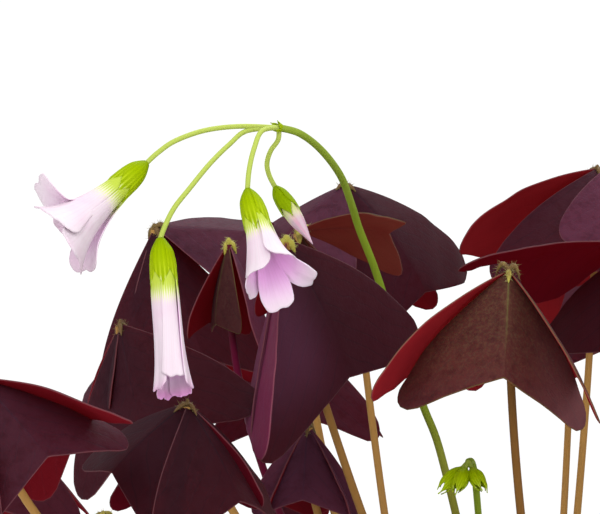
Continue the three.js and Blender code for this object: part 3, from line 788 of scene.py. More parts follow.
def petiole(leaf, count):
    """Leaf stalk: bows outwards from its crown, comes up under the hub and runs into it."""
    _, hub, crown, lean, _, neck, _ = leaf
    hub = array(hub)
    foot = array([*CROWNS[crown], SOIL_TOP])
    out = (hub - foot) * (1, 1, 0)
    rise = hub[2] - SOIL_TOP
    reach = np.linalg.norm(out)
    up = array([0, 0, 1])
    start = foot + out * min(2.2, reach * 0.3) / reach
    end = hub - up * (neck + FIT)
    low = start + out * 0.42 + up * rise * 0.28
    high = end - out * lean - up * max(rise * 0.34, 15)
    t = np.linspace(0, 1, count)[:, None]
    bow = (start * (1 - t) ** 3 + low * 3 * t * (1 - t) ** 2
           + high * 3 * t * t * (1 - t) + end * t ** 3)
    return np.vstack([start - up * 3, bow, hub - up * (neck + FIT) * 0.5, hub - up * 0.4])


def leaf_blades(leaf, sizes, rows, cols):
    """The three leaflets of a leaf, with midrib, thin rim and a little natural waviness."""
    name, hub, _, _, tint, _, leaflets = leaf
    solid = Solid()
    draw = draws_for(name, pace=7919, start=17)
    half = dense_ends(cols)
    v = np.concatenate([-half[:0:-1], half])[None, :]
    s = 1 - (1 - np.linspace(0, 1, rows))[:, None] ** 1.5
    for leaflet, shade in zip(leaflets, LEAFLET_TINTS_AND_SHEEN.get(name, (tint, tint, tint))):
        blade = Blade(hub, *leaflet)
        a, b = blade.flat(s, v)
        reach = np.hypot(a, b)
        to_side = reach * blade.spread(s) * (1 - np.abs(v))
        to_end = (1 - s) * blade.size * blade.margin(v)
        inset = np.minimum(to_side, to_end)
        rim = np.exp(-inset / sizes.rim_width)
        outer = ease(reach / blade.size, 0.15, 0.9)
        wave = waves(a, b, draw, count=5, length=13) * outer * sizes.waviness
        frill = waves(a, b, draw, count=4, length=5) * np.exp(-inset / 1.5)
        frill = frill * outer * sizes.waviness * 0.35
        grid = blade.curved(a, b)
        grid = grid + across_normals(grid) * (wave + frill)[..., None]
        fade = 1 - 0.7 * np.clip(a / blade.size, 0, 1)
        groove = sizes.midrib * fade * np.exp(-(b / 0.4) ** 2)
        thick = sizes.blade_thickness / 2 * (1 - 0.55 * rim)
        # the crimson of the underside is given per leaf, painted brighter for leaves in light and
        # darker for leaves in shade
        add_sheet(solid, grid, thick - groove * 0.45, thick + groove,
                  upper=(1.0, 0.0), tint=max(0, shade + draw(0.08)), rim=rim, across=b, along=a,
                  ember=CRIMSON_LIGHT_AND_SHADE.get(name, USUAL_CRIMSON_LIGHT))
    return solid


# ---------- flowers ----------
def axes_round(aim):
    z = unit(aim)
    x = unit(np.cross((0.3, 0.9, 0.1), z))
    return x, np.cross(z, x), z


def round_axis(base, aim, radius, t, turn):
    """Points at a radius, way along and turn round a flower's axis."""
    x, y, z = axes_round(aim)
    radius, t, turn = (array(value)[..., None] for value in np.broadcast_arrays(radius, t, turn))
    return array(base) + z * t + x * radius * np.cos(turn) + y * radius * np.sin(turn)


def add_petals(solid, base, aim, kind, draw, thickness):
    """Five petals, each lapped over the next, from a narrow tube to broad rounded free ends."""
    shape = COROLLAS[kind]
    path = shape["path"]
    start, top = path[0][0], path[-1][0]
    x = np.linspace(-1, 1, 25)[None, :]
    u = dense_ends(34, 0.4)[:, None]
    for i, (longer, bent, back) in enumerate(shape["petals"]):
        length = top + longer + draw(0.15)
        end = length - shape["lobe"] * np.abs(x) ** shape["square"] - 0.12 * np.exp(-(x / 0.1) ** 2)
        end = end + 0.1 * np.sin(7 * x + draw(3)) + 0.05 * np.sin(17 * x + draw(3))
        t = start + u * (end - start)
        free = np.clip((t - THROAT) / (length - THROAT), 0, 1) ** 1.6
        tube = radius_at(path, t * top / length)
        flare = bent * free ** (2.4 + 0.4 * bent)
        wide = math.radians(36) * (1 + (shape["width"] - 1) * free) * tube / (tube + flare)
        turn = np.radians(72 * i + shape["turn"] + shape["twist"] * t / top) + x * wide
        lap = 0.16 * x * ease(t, 2, THROAT + 2)
        ruffle = 0.16 * np.sin(4.3 * x + draw(3)) * free ** 2
        crease = -0.12 * np.exp(-(x / 0.16) ** 2) * free
        radius = tube + lap + flare + ruffle + crease
        grid = round_axis(base, aim, radius, t - back * free ** 3, turn)
        rim = np.exp(-(1 - np.abs(x)) * 3) + 0 * u
        add_sheet(solid, grid, thickness / 2 * (1 - 0.4 * rim), thickness / 2, outside=(0.0, 1.0),
                  across=x + 0 * u, along=t / PETAL_SPAN, reach=t / length, blush=shape["blush"])


def add_sepals(solid, base, aim, length, half, draw, thickness, tips=0.0, girth=1.0, tint=0.0):
    """Five pointed sepals pressed together round a flower's foot; tips is how far they flare."""
    x = np.linspace(-1, 1, 13)[None, :]
    u = np.linspace(0, 1, 22)[:, None]
    for i in range(5):
        end = length * (1 + draw(0.14))
        t = u * end
        taper = 1 - 0.97 * ease(u, 0.5, 1.0) ** 1.2
        turn = 2 * math.pi * (i + 0.5) / 5 + x * math.radians(half) * taper
        lap = 0.05 * x * taper * ease(u, 0.05, 0.3)
        keel = 0.02 * np.exp(-(x / 0.25) ** 2)
        radius = radius_at(CALYX, t * CALYX[-1][0] / end) * length / CALYX[-1][0] * girth
        radius = radius + lap + keel + tips * u ** 3
        grid = round_axis(base, aim, radius, t, turn)
        add_sheet(solid, grid, thickness / 2 * (1 - 0.6 * u), thickness / 2,
                  outside=(1.0, 0.0), across=x * taper, along=u + 0 * x, tint=tint)


def add_bud(solid, base, aim, path, twist):
    """Petals still rolled round each other into a point."""
    t = np.linspace(path[0][0], path[-1][0], 34)[:, None]
    turn = full_turn(40)[None, :]
    phase = 5 * turn + math.radians(twist) * t
    lobes = 0.055 * np.cos(phase) + 0.03 * np.cos(2 * phase + 0.8)
    radius = radius_at(path, t) * (1 + lobes)
    rings = round_axis(base, aim, radius, t, turn)
    ends = [round_axis(base, aim, 0, stop, 0) for stop in (path[0][0], path[-1][0] + 0.15)]
    add_turned(solid, rings, *ends, outside=1.0, across=np.sin(phase), along=t / BUD_SPAN,
               reach=t / BUD_SPAN)


# ---------- finishes ----------
def blade_finish(colours):
    """Velvety blade: brown, plum or mauve above by its tint, with painted sheen on some upward
    leaflets; crimson below, painted brighter on lit undersides and darker on shaded ones, and low
    values paint shade on the upper side; one half of the brownest leaflets gets painted light, and
    the pale margin is partly painted rim light.
    """
    r = Recipe("leaf_blade")
    upper, tint, rim, ember, across, along = map(
        r.value, ("upper", "tint", "rim", "ember", "across", "along"))
    cloud = r.between(r.noise(85, 3), 0.3, 0.7)
    mottle = r.noise(700, 4, rough=0.65)
    speck = r.noise(2600, 2)
    fleck = r.between(r.noise(2400, 3, rough=0.6), 0.44, 0.64)
    midrib = r.peak(across, 0.1) * r.between(along, 16, 3)
    slant = along - abs(across) * 0.85
    vein = (r.stripes(slant / 2.7 + r.noise(130, 2) * 1.3, 0.42, 0.5)
            * r.between(abs(across), 0.3, 1.2))
    net = 1 - r.between(r.cells(1100), 0.02, 0.12)
    brownest = r.between(tint, 0.35, 0.05)
    rosy = r.between(tint, 1.1, 1.8)
    # a pale margin, partly the thin edge's own paler tone and partly painted rim light
    margin = r.between(rim, 0.45, 0.95) * 0.5
    edge = r.blend(r.between(tint, 0.35, 0.2), colours.leaf_rim_and_painted_light, colours.midrib_green)
    near_hub = r.between(along, 22, 4) * 0.75 + 0.25
    mauve_half = (r.between(across, 1, -8) * r.between(abs(ember - MAUVE_HALF), 0.05, 0.02)
                  * r.between(along, 24, 13))

    top = r.layers(
        colours.leaf_brown,
        (r.between(tint, 0.0, 0.5), colours.leaf_plum),
        (r.between(tint, 0.5, 1.2), colours.leaf_mauve),
        (cloud * 0.35, colours.leaf_plum),
        (near_hub * (fleck * 0.5 + 0.14) * brownest, colours.leaf_olive),
        (r.between(along, 12, 30) * brownest * 0.5, colours.leaf_mauve),
        (fleck * 0.16, colours.leaf_vein),
        (r.between(mottle, 0.45, 0.7) * 0.4, dim(colours.leaf_plum, 0.4)),
        (vein * 0.03 + net * 0.05, colours.leaf_vein),
        (midrib * r.between(tint, 0.4, 0.15) * 0.35, colours.midrib_green),
        (mauve_half, colours.leaf_mauve),
        # painted light: lifts the colour of one half of the brownest leaflets, which lies in shade
        (r.between(across, 2, 12) * brownest * 0.45, colours.leaf_rim_and_painted_light),
        (rosy, colours.leaf_rose),
        # painted shade: darkens the upper side of the leaves with the least crimson below
        (r.between(ember, 0.2, 0.13) * 0.6, dim(colours.leaf_plum, 0.3)),
        (margin, edge))
    under = r.layers(
        colours.leaf_under_dark_and_shade,
        (r.between(tint, 0.3, 0.15), colours.leaf_under_brown),
        # the crimson below is painted brighter or darker by how the light falls on each leaf
        (ember, colours.leaf_under),
        (cloud * 0.25, colours.leaf_under_dark_and_shade),
        (vein * 0.1 + midrib * 0.5, colours.leaf_under_vein),
        (rosy, colours.leaf_rose),
        (margin, colours.leaf_rim_and_painted_light))
    relief = mottle * 0.5 + speck * 0.25 - vein * 0.25 - net * 0.25 - midrib * 0.8
    bump = r.bump(relief, 0.5, 0.00012)
    rough = 0.50 + mottle * 0.16 - vein * 0.05
    above = r.principled(
        Base_Color=top, Roughness=rough, Normal=bump, IOR=1.1, Sheen_Weight=0.01,
        Sheen_Roughness=0.5, Sheen_Tint=rgb(colours.leaf_sheen))
    below = r.principled(Base_Color=under, Roughness=rough, Normal=bump, Specular_IOR_Level=0.0)
    share = 0.2 - vein * 0.05 - midrib * 0.15
    return r.finish(r.glow_through(r.mix_shaders(upper, below, above), share, colours.leaf_glow))


def hub_finish(colours):
    r = Recipe("leaf_hub")
    patch = r.between(r.noise(1100, 3), 0.35, 0.65)
    tan = r.between(r.value("tint") + patch * 0.35, 0.3, 1.1)
    skin = r.blend(tan, colours.hub_green, colours.hub_tan)
    bump = r.bump(r.noise(3500, 2), 0.6, 0.0001)
    return r.finish(
        r.principled(Base_Color=skin, Roughness=0.6, Normal=bump, Specular_IOR_Level=0.2))


def hair_finish(colours):
    r = Recipe("hub_hair")
    tan = (r.value("tint") * 0.8, colours.hair_tan)
    skin = r.layers(colours.hair_pale, tan)
    surface = r.principled(Base_Color=skin, Roughness=0.5, Specular_IOR_Level=0.2)
    return r.finish(r.glow_through(surface, 0.35, colours.hair_pale, tan))


def stem_finish(name, pale, deep, foot, colours):
    """Juicy stem: pale to deep by its tint, redder at the foot, with fine lengthwise streaks."""
    r = Recipe(name)
    along, tint = r.value("along"), r.value("tint")
    streak = r.noise(1500, 3, stretch=(1, 1, 0.06))
    tones = [
        (tint, deep),
        (r.between(tint, 1.1, 1.8), colours.petiole_red),
        (r.between(along, 0.45, 0.0) * 0.7, foot)]
    skin = r.layers(
        pale, *tones,
        (r.between(streak, 0.45, 0.7) * tint * 0.12, dim(deep, 0.5)),
        (r.between(r.noise(60, 2), 0.5, 0.75) * 0.15, pale))
    surface = r.principled(
        Base_Color=skin, Roughness=0.45 + streak * 0.15, Normal=r.bump(streak, 0.04, 0.0001),
        Specular_IOR_Level=0.08)
    return r.finish(r.glow_through(surface, 0.25, pale, *tones))


def sepal_finish(colours):
    """Ribbed green sepal that fades through lime to cream towards its tip."""
    r = Recipe("sepal")
    along, across = r.value("along"), r.value("across")
    rib = r.stripes(across * 2.5 + 0.5 + r.noise(260, 1) * 0.3, 0.42, 0.16)
    cloud = r.noise(500, 3)
    reach = along + cloud * 0.24 - rib * 0.3
    skin = r.layers(
        colours.sepal_green,
        (rib * 0.25 + cloud * 0.25, colours.sepal_deep),
        (r.between(along, 0.4, 0.02) * 0.6, colours.sepal_deep),
        (r.between(along, 0.35, 0.8) * (1 - rib * 0.6), colours.sepal_lime),
        (r.between(along, 0.5, 0.75) * rib * 0.5, colours.sepal_deep),
        (r.between(reach, 0.66, 0.9) * 0.85, colours.petal_foot),
        (r.between(reach, 0.88, 1.1), colours.petal_base),
        (r.value("tint") * 0.8, colours.sepal_deep))
    bump = r.bump(rib * 0.6 + r.noise(2500, 2) * 0.3, 0.25, 0.0001)
    surface = r.principled(Base_Color=skin, Roughness=0.55, Normal=bump, Specular_IOR_Level=0.02)
    return r.finish(r.glow_through(surface, 0.22, colours.sepal_glow))


def petal_finish(colours, bud=False):
    """Soft white to lilac petal; a bud is streaked with deeper pink where it is rolled."""
    r = Recipe("bud_petal" if bud else "petal")
    along, reach, across, outside = map(r.value, ("along", "reach", "across", "outside"))
    warp = r.noise(260, 2) * 0.35
    vein = r.stripes(across * 4.5 + warp, 0.38, 0.5)
    streak = r.stripes(across * 3.5 + warp, 0.05, 0.45)
    cloud = r.noise(220, 2)
    throat = (1 - outside) * r.between(reach, 1.02, 0.72) * r.between(along, 0.5, 0.66)
    cream = r.between(along + cloud * 0.1 - streak * 0.05, 0.6, 0.46)
    green = r.between(along + cloud * 0.04 - streak * 0.07, 0.5, 0.38)
    if bud:
        own = [(r.between(across + cloud, 0.9, -0.3) * 0.7, colours.petal_vein),
               (0.42, dim(colours.petal_vein, 0.5)),
               (cream * 0.5, colours.petal_base),
               (green * 0.6, colours.petal_foot)]
    else:
        own = [(r.between(along, 1.13, 1.27) * (1 - outside * 0.5), colours.petal_rim),
               (cream * 0.9, colours.petal_base),
               (green * 0.95, colours.petal_foot)]
    skin = r.layers(
        colours.petal_white,
        (r.between(cloud, 0.35, 0.7) * 0.6, colours.petal_lilac),
        (throat * r.value("blush") * 0.85, colours.petal_throat),
        (vein * r.between(along, 0.45, 0.6) * r.between(reach, 1.0, 0.8) * 0.2, colours.petal_vein),
        *own)
    bump = r.bump(cloud * 0.4 - vein * 0.3 + r.noise(1800, 3) * 0.25, 0.3, 0.00015)
    surface = r.principled(Base_Color=skin, Roughness=0.55, Normal=bump, Specular_IOR_Level=0.25)
    return r.finish(r.glow_through(surface, 0.1, colours.petal_glow))


def anther_finish(colours):
    r = Recipe("anther")
    skin = r.blend(r.noise(2500, 2), colours.pollen, dim(colours.pollen, 0.6))
    return r.finish(r.principled(Base_Color=skin, Roughness=0.8))


def scale_finish(colours):
    r = Recipe("crown_scale")
    fibre = r.noise(900, 4, stretch=(1, 1, 0.15))
    skin = r.blend(fibre, colours.scale_brown, colours.hub_tan)
    bump = r.bump(fibre, 0.7, 0.0003)
    return r.finish(r.principled(Base_Color=skin, Roughness=0.75, Normal=bump))


def soil_finish(colours, name, dark, light):
    r = Recipe(name)
    lump = r.noise(420, 5, rough=0.7)
    fine = r.noise(2400, 3, rough=0.7)
    skin = r.layers(
        dark,
        (r.between(lump, 0.35, 0.7), light),
        (r.between(fine, 0.6, 0.8) * 0.35, colours.soil_fleck))
    bump = r.bump(lump + fine * 0.4, 0.9, 0.0006)
    return r.finish(r.principled(Base_Color=skin, Roughness=0.93, Normal=bump))


def clay_finish(colours):
    """Thrown clay, damp at the foot, with a broken line of white bloom where the damp ends."""
    r = Recipe("terracotta")
    height = r.node("ShaderNodeSeparateXYZ", inputs={0: r.point()}, out="Z")
    cloud = r.between(r.noise(28, 4), 0.3, 0.72)
    grain = r.noise(900, 4, rough=0.7)
    pit = 1 - r.between(r.cells(650, feature="F1"), 0.05, 0.28)
    turning = r.noise(60, 3, stretch=(0.15, 0.15, 14))
    damp = r.between(height + r.noise(35, 4) * 0.03, 0.042, 0.026)
    bloom = (r.peak(height + r.noise(26, 5) * 0.034 - 0.052, 0.0045)
             * r.between(r.noise(190, 5, rough=0.75), 0.42, 0.66)
             * r.between(r.noise(17, 2), 0.4, 0.6))
    lip = r.between(height, 0.086, 0.0915) * r.between(r.noise(120, 4), 0.4, 0.65)
    skin = r.layers(
        colours.clay,
        (cloud, colours.clay_light),
        (grain * 0.35, colours.clay_dark),
        (damp * 0.4, colours.clay_dark),
        (bloom * 0.45 + lip * 0.35, colours.clay_bloom),
        (pit * 0.5, colours.clay_dark))
    relief = grain * 0.5 + turning * 0.7 - pit * 0.8 + cloud * 0.2
    return r.finish(r.principled(
        Base_Color=skin, Roughness=0.82 + grain * 0.14 - damp * 0.12,
        Normal=r.bump(relief, 0.55, 0.0005), Specular_IOR_Level=0.3))


def floor_finish():
    r = Recipe("pale_floor")
    skin = r.blend(r.noise(6, 3) * 0.3, (0.86, 0.86, 0.86), (0.8, 0.8, 0.8))
    return r.finish(r.principled(Base_Color=skin, Roughness=0.7))


# ---------- settings ----------
def length(label, about, default):
    """A length in millimetres, at the plan's own scale."""
    return bpy.props.FloatProperty(
        name=label, description=about, default=default, min=0, unit="NONE")


def colour(label, about, default):
    return bpy.props.FloatVectorProperty(
        name=label, description=about, default=default, size=3, min=0, max=1, subtype="COLOR")


class ShamrockSizes(bpy.types.PropertyGroup):
    """Sizes of the fine detail, in millimetres."""

    blade_thickness: length("Blade thickness", "Thickness of a leaf blade, mm", 0.3)
    rim_width: length("Rim width", "How far the pale thin rim reaches in from the margin, mm", 0.22)
    midrib: length("Midrib height", "How far the midrib stands out below the blade, mm", 0.2)
    waviness: length("Waviness", "Height of the gentle waves of a blade, mm", 0.28)
    petiole_radius: length("Petiole radius", "Radius of a leaf stalk under its hub, mm", 0.52)
    stalk_radius: length("Stalk radius", "Radius of a main flower stalk, mm", 0.56)
    pedicel_radius: length("Pedicel radius", "Radius of one flower's own stalk, mm", 0.32)
    hair_length: length("Hair length", "Length of the hairs on a hub, mm", 0.7)
    petal_thickness: length("Petal thickness", "Thickness of a petal, mm", 0.15)
    sepal_thickness: length("Sepal thickness", "Thickness of a sepal, mm", 0.16)
    crumb: length("Crumb size", "Radius of an ordinary soil crumb, mm", 0.9)


class ShamrockColours(bpy.types.PropertyGroup):
    """Colours of the plant, its soil and its pot."""

    leaf_brown: colour("Leaf brown", "Upper side of the brownest leaves", (0.068, 0.019, 0.018))
    leaf_plum: colour("Leaf plum", "Upper side of most leaves", (0.022, 0.0068, 0.0118))
    leaf_mauve: colour("Leaf mauve", "Upper side of the bluest leaves", (0.075, 0.024, 0.046))
    leaf_rose: colour("Leaf rose", "The rosiest leaflets", (0.12, 0.02, 0.058))
    leaf_olive: colour("Leaf olive", "Flecks of the brownest leaves", (0.1, 0.06, 0.026))
    leaf_vein: colour("Leaf veins", "Fine veins of the upper side", (0.065, 0.02, 0.028))
    midrib_green: colour("Midrib green", "Midrib near the hub", (0.12, 0.13, 0.03))
    leaf_under: colour("Leaf underside", "Underside of a leaf", (0.245, 0.016, 0.021))
    # darker patches below, and the painted shade of undersides with little crimson
    leaf_under_dark_and_shade: colour("Leaf underside, dark", "Darker patches below", (0.031, 0.002, 0.0075))
    leaf_under_brown: colour(
        "Leaf underside, brown", "Underside of dull brown leaves", (0.155, 0.052, 0.036))
    leaf_under_vein: colour("Underside veins", "Veins of the underside", (0.21, 0.02, 0.03))
    # a pale thin margin, partly painted rim light; it is also the painted light on one half of the
    # brownest leaflets
    leaf_rim_and_painted_light: colour("Leaf rim", "Thin pale margin of a leaf", (0.17, 0.075, 0.085))
    leaf_sheen: colour("Leaf sheen", "Soft sheen of the blade", (0.80, 0.62, 0.85))
    leaf_glow: colour("Leaf glow", "Light that comes through a blade", (0.82, 0.03, 0.05))
    hub_green: colour("Hub green", "Swollen leaflet joints", (0.34, 0.3, 0.045))
    hub_tan: colour("Hub tan", "Browner parts of the joints", (0.11, 0.06, 0.02))
    hair_pale: colour("Hairs, pale", "Hairs of the lime joints", (0.6, 0.56, 0.2))
    hair_tan: colour("Hairs, tan", "Hairs of the brown joints", (0.2, 0.13, 0.06))
    petiole_gold: colour("Petiole gold", "Palest leaf stalks", (0.47, 0.26, 0.075))
    petiole_tan: colour("Petiole tan", "Brownest leaf stalks", (0.16, 0.064, 0.012))
    petiole_red: colour("Petiole red", "The reddest leaf stalk", (0.11, 0.003, 0.026))
    petiole_foot: colour("Petiole foot", "Leaf stalks near the soil", (0.26, 0.09, 0.05))
    stalk_green: colour("Stalk green", "Main flower stalk", (0.155, 0.245, 0.0))
    stalk_lime: colour("Stalk lime", "Palest flower stalks", (0.5, 0.59, 0.12))
    sepal_green: colour("Sepal green", "Body of a sepal", (0.33, 0.45, 0.0))
    sepal_deep: colour("Sepal deep green", "Streaks of a sepal", (0.19, 0.29, 0.0))
    sepal_lime: colour("Sepal lime", "Pale parts of a sepal", (0.42, 0.53, 0.01))
    sepal_glow: colour("Sepal glow", "Light that comes through a sepal", (0.7, 0.82, 0.01))
    petal_white: colour("Petal white", "Palest part of a petal", (0.66, 0.565, 0.625))
    petal_lilac: colour("Petal lilac", "Pinker part of a petal", (0.65, 0.46, 0.58))
    petal_throat: colour("Petal throat", "Inside of the flower", (0.96, 0.5, 0.93))
    petal_rim: colour("Petal rim", "Mouth of the long tubular flower", (0.62, 0.26, 0.52))
    petal_vein: colour("Petal veins", "Veins and rolled edges", (0.66, 0.3, 0.44))
    petal_base: colour("Petal base", "Cream zone of the tube", (0.7, 0.71, 0.4))
    petal_foot: colour("Petal foot", "Lime foot of the tube", (0.4, 0.51, 0.02))
    petal_glow: colour("Petal glow", "Light that comes through a petal", (0.97, 0.93, 0.96))
    pollen: colour("Pollen", "Anthers", (0.80, 0.52, 0.06))
    scale_brown: colour("Crown scales", "Papery scales at the soil", (0.16, 0.07, 0.03))
    soil_dark: colour("Soil dark", "Damp compost", (0.020, 0.011, 0.006))
    soil_brown: colour("Soil brown", "Drier compost", (0.065, 0.036, 0.020))
    soil_fleck: colour("Soil flecks", "Fibres and dust", (0.17, 0.11, 0.06))
    perlite: colour("Perlite", "White grains", (0.74, 0.73, 0.69))
    clay: colour("Clay", "Fired clay", (0.45, 0.135, 0.055))
    clay_light: colour("Clay, light", "Dry patches", (0.58, 0.23, 0.11))
    clay_dark: colour("Clay, dark", "Damp patches and pits", (0.22, 0.055, 0.022))
    clay_bloom: colour("Lime bloom", "White bloom that dries out of the clay", (0.70, 0.62, 0.54))


# ---------- operators ----------
class Maker:
    """What every operator of this plant shares."""

    bl_options = {"REGISTER", "UNDO"}

    def execute(self, context):
        self.make(context.scene.shamrock_sizes, context.scene.shamrock_colours)
        return {"FINISHED"}

    @staticmethod
    def keep(piece, slot, *nodes):
        """Hands a finished piece to the frame."""
        if not piece.data.polygons:
            raise RuntimeError(piece.name + " came out empty")
        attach(piece, BODY)
        if nodes:
            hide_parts(*nodes)


class SHAMROCK_OT_leaves(Maker, bpy.types.Operator):
    """Makes the three-part leaves"""

    bl_idname = "shamrock.leaves"
    bl_label = "Leaves"

    def make(self, sizes, colours):
        finish = blade_finish(colours)
        for leaf in LEAVES:
            name = leaf[0]
            rows, cols = NEAR_GRID if name in PLACED else FAR_GRID
            piece = leaf_blades(leaf, sizes, rows, cols).build("blades_" + name, finish)
            self.keep(piece, "leaf", "leaf_" + name)


class SHAMROCK_OT_hubs(Maker, bpy.types.Operator):
    """Makes the swollen joints in the middle of each leaf, with their hairs"""

    bl_idname = "shamrock.hubs"
    bl_label = "Leaf hubs"

    def make(self, sizes, colours):
        paths = []
        heights, knob = array(HUB_KNOB).T
        way, joint = array(HUB_JOINT).T
        for name, hub, _, _, _, _, leaflets in LEAVES:
            arch, tint, girth = HUBS.get(name, USUAL_HUB)
            rise = array(hub) + heights[:, None] * (0, 0, 1)
            paths.append((rise, {"thickness": knob * MM * girth, "tint": tint}))
            for index, leaflet in enumerate(leaflets):
                blade = Blade(hub, *leaflet)
                lift = arch if index else min(arch, 0.2)
                line = blade.curved(way, way * 0) + blade.over * 0.12
                line = line + (0, 0, lift) * np.sin(math.pi * way / 2.4)[:, None]
                own = LIME_JOINT[2] if (name, index) == LIME_JOINT[:2] else tint
                paths.append((line, {"thickness": joint * MM * girth, "tint": own}))
        joints = stem_tree().grow("leaf_hubs", lines(paths), Sides=12, Finish=hub_finish(colours))
        hairs = hair_tree().grow(
            "hub_hairs", joints.data.copy(), Density=HAIRS_PER_SQUARE_METRE,
            Length=sizes.hair_length * MM, Width=HAIR_RADIUS * MM, Seed=11,
            Finish=hair_finish(colours))
        self.keep(joints, "leaf")
        self.keep(hairs, "leaf")


class SHAMROCK_OT_stems(Maker, bpy.types.Operator):
    """Makes the leaf stalks and the crowns that they grow from"""

    bl_idname = "shamrock.stems"
    bl_label = "Leaf stalks"

    def make(self, sizes, colours):
        tree = stem_tree()
        finish = stem_finish(
            "petiole", colours.petiole_gold, colours.petiole_tan, colours.petiole_foot, colours)
        scales = scale_finish(colours)
        for index, (x, y) in enumerate(CROWNS):
            paths = [self.stalk(leaf, sizes) for leaf in LEAVES if leaf[2] == index]
            stems = tree.grow(f"stems_{index + 1}", lines(paths), Sides=12, Finish=finish)
            self.keep(stems, "petiole", f"tuft_{index + 1}")
            self.keep(self.crown(x, y, index, scales), "petiole")

    @staticmethod
    def stalk(leaf, sizes):
        """One leaf stalk, a little swollen at its foot and under its hub."""
        points = petiole(leaf, count=30)
        usual = 0.5 + draws_for(leaf[0], pace=131, start=7)(0.5)
        t = np.linspace(0, 1, len(points))
        swell = 0.28 * np.exp(-((1 - t) / 0.03) ** 2) + 0.35 * np.exp(-(t / 0.08) ** 2)
        thickness = sizes.petiole_radius * (1.22 - 0.22 * t + swell) * MM
        tint = STALK_TINTS.get(leaf[0], usual)
        return points, {"thickness": thickness, "along": t, "tint": tint}

    @staticmethod
    def crown(x, y, index, finish):
        """Papery scales round the foot of a tuft."""
        solid = Solid()
        draw = Draws(index * 53 + 3)
        across = np.linspace(-1, 1, 9)[None, :]
        up = np.linspace(0, 1, 12)[:, None]
        foot = SOIL_TOP - CROWN_SUNK
        for k in range(CROWN_SCALES):
            turn = 2 * math.pi * k / CROWN_SCALES + draw(0.2)
            turn = turn + across * 0.55 * (1 - up ** 1.6 * 0.96)
            radius = 2.9 + draw(0.3) - 1.1 * (1 - up) ** 2 + 0.5 * up ** 3 + 0.2 * (k % 2)
            rise = foot + 1 + up * (6.5 + draw(0.9))
            ring = [x + radius * np.cos(turn), y + radius * np.sin(turn), rise + 0 * turn]
            add_sheet(solid, np.stack(ring, axis=-1), 0.1, 0.1)
        core = [(1.2, 0.2), (2.3, 1), (2.7, 2.2), (2.4, 3.6), (1.6, 4.8), (0.4, 5.4)]
        rings = revolved(core, 24) + (x, y, foot + 0.6)
        add_turned(solid, rings, (x, y, foot + 0.7), (x, y, SOIL_TOP + 1.1))
        return solid.build(f"crown_{index + 1}", finish)


class SHAMROCK_OT_flower_stalks(Maker, bpy.types.Operator):
    """Makes the arched flower stalks with their small scales at the fork"""

    bl_idname = "shamrock.flower_stalks"
    bl_label = "Flower stalks"

    def make(self, sizes, colours):
        tree = stem_tree()
        finish = stem_finish(
            "flower_stalk", colours.stalk_lime, colours.stalk_green, colours.petiole_foot, colours)
        bract_skin = sepal_finish(colours)
        for name, cluster in CLUSTERS.items():
            stalk, tip = cluster["stalk"], array(cluster["stalk"][-1])
            points = through(stalk, 8)
            t = np.linspace(0, 1, len(points))
            thickness = sizes.stalk_radius * (1.1 - 0.25 * t) * MM
            paths = [(points, {"thickness": thickness, "along": t, "tint": 0.95 - 0.25 * t})]
            for stops, aim, _ in cluster["flowers"].values():
                points = through([tip, *stops[1:], array(stops[-1]) + 0.5 * unit(aim)], 8)
                t = np.linspace(0, 1, len(points))
                thickness = sizes.pedicel_radius * (1.05 + 0.5 * ease(t, 0.85, 1)) * MM
                values = {"thickness": thickness, "along": 1.0, "tint": 0.05 + 0.15 * t}
                paths.append((points, values))
            piece = tree.grow("stalk_" + name, lines(paths), Sides=14, Finish=finish)
            self.keep(piece, "stalk", "stalk_" + name)
            bracts = Solid()
            way = tip - array(stalk[-3])
            add_sepals(bracts, tip - unit(way) * 0.7, way, length=1.6, half=34, draw=Draws(29),
                       thickness=0.14, tips=0.12, girth=1.5)
            self.keep(bracts.build("bracts_" + name, bract_skin), "stalk")


class SHAMROCK_OT_flowers(Maker, bpy.types.Operator):
    """Makes the flowers: sepals, petals and stamens"""

    bl_idname = "shamrock.flowers"
    bl_label = "Flowers"

    def make(self, sizes, colours):
        tree = stem_tree()
        sepal_skin, petal_skin = sepal_finish(colours), petal_finish(colours)
        bud_skin = petal_finish(colours, bud=True)
        thread = stem_finish(
            "filament", colours.petal_white, colours.stalk_lime, colours.stalk_lime, colours)
        pollen = anther_finish(colours)
        for cluster in CLUSTERS.values():
            for name, (stops, aim, kind) in cluster["flowers"].items():
                base, bud = stops[-1], kind == "bud"
                draw = draws_for(name, pace=37, start=5)
                sepals, petals = Solid(), Solid()
                long, girth = BUD_CALYX if bud else OPEN_CALYX
                add_sepals(sepals, base, aim, long, SEPAL_HALF, draw, sizes.sepal_thickness,
                           girth=girth, tint=float(bud))
                if bud:
                    add_bud(petals, base, aim, BUD, twist=9)
                else:
                    add_petals(petals, base, aim, kind, draw, sizes.petal_thickness)
                    self.stamens(name, base, aim, tree, thread, pollen)
                self.keep(sepals.build("calyx_" + name, sepal_skin), "stalk")
                piece = petals.build("petals_" + name, bud_skin if bud else petal_skin)
                self.keep(piece, "petal", "corolla_" + name)

    def stamens(self, name, base, aim, tree, thread, pollen):
        """Ten stamens, short and long by turns."""
        paths = []
        knobs = Solid()
        for k in range(10):
            turn = 2 * math.pi * (k + 0.5) / 10
            top = STAMEN_TOPS[k % 2]
            t = np.linspace(1.6, top, 8)
            points = round_axis(base, aim, 0.25 + 0.5 * ease(t, 4, top), t, turn)
            paths.append((points, {"thickness": 0.06 * MM, "along": 1.0, "tint": 0.0}))
            stops = np.linspace(0.02, 0.98, 7)[:, None]
            girth = 0.2 * np.sqrt(1 - (2 * stops - 1) ** 2)
            rings = round_axis(points[-1], aim, girth, stops * 0.7 - 0.2, full_turn(8)[None, :])
            ends = [points[-1] + unit(aim) * rise for rise in (-0.2, 0.5)]
            add_turned(knobs, rings, *ends)
        piece = tree.grow("filaments_" + name, lines(paths), Sides=6, Finish=thread)
        self.keep(piece, "petal")
        self.keep(knobs.build("anthers_" + name, pollen), "petal")


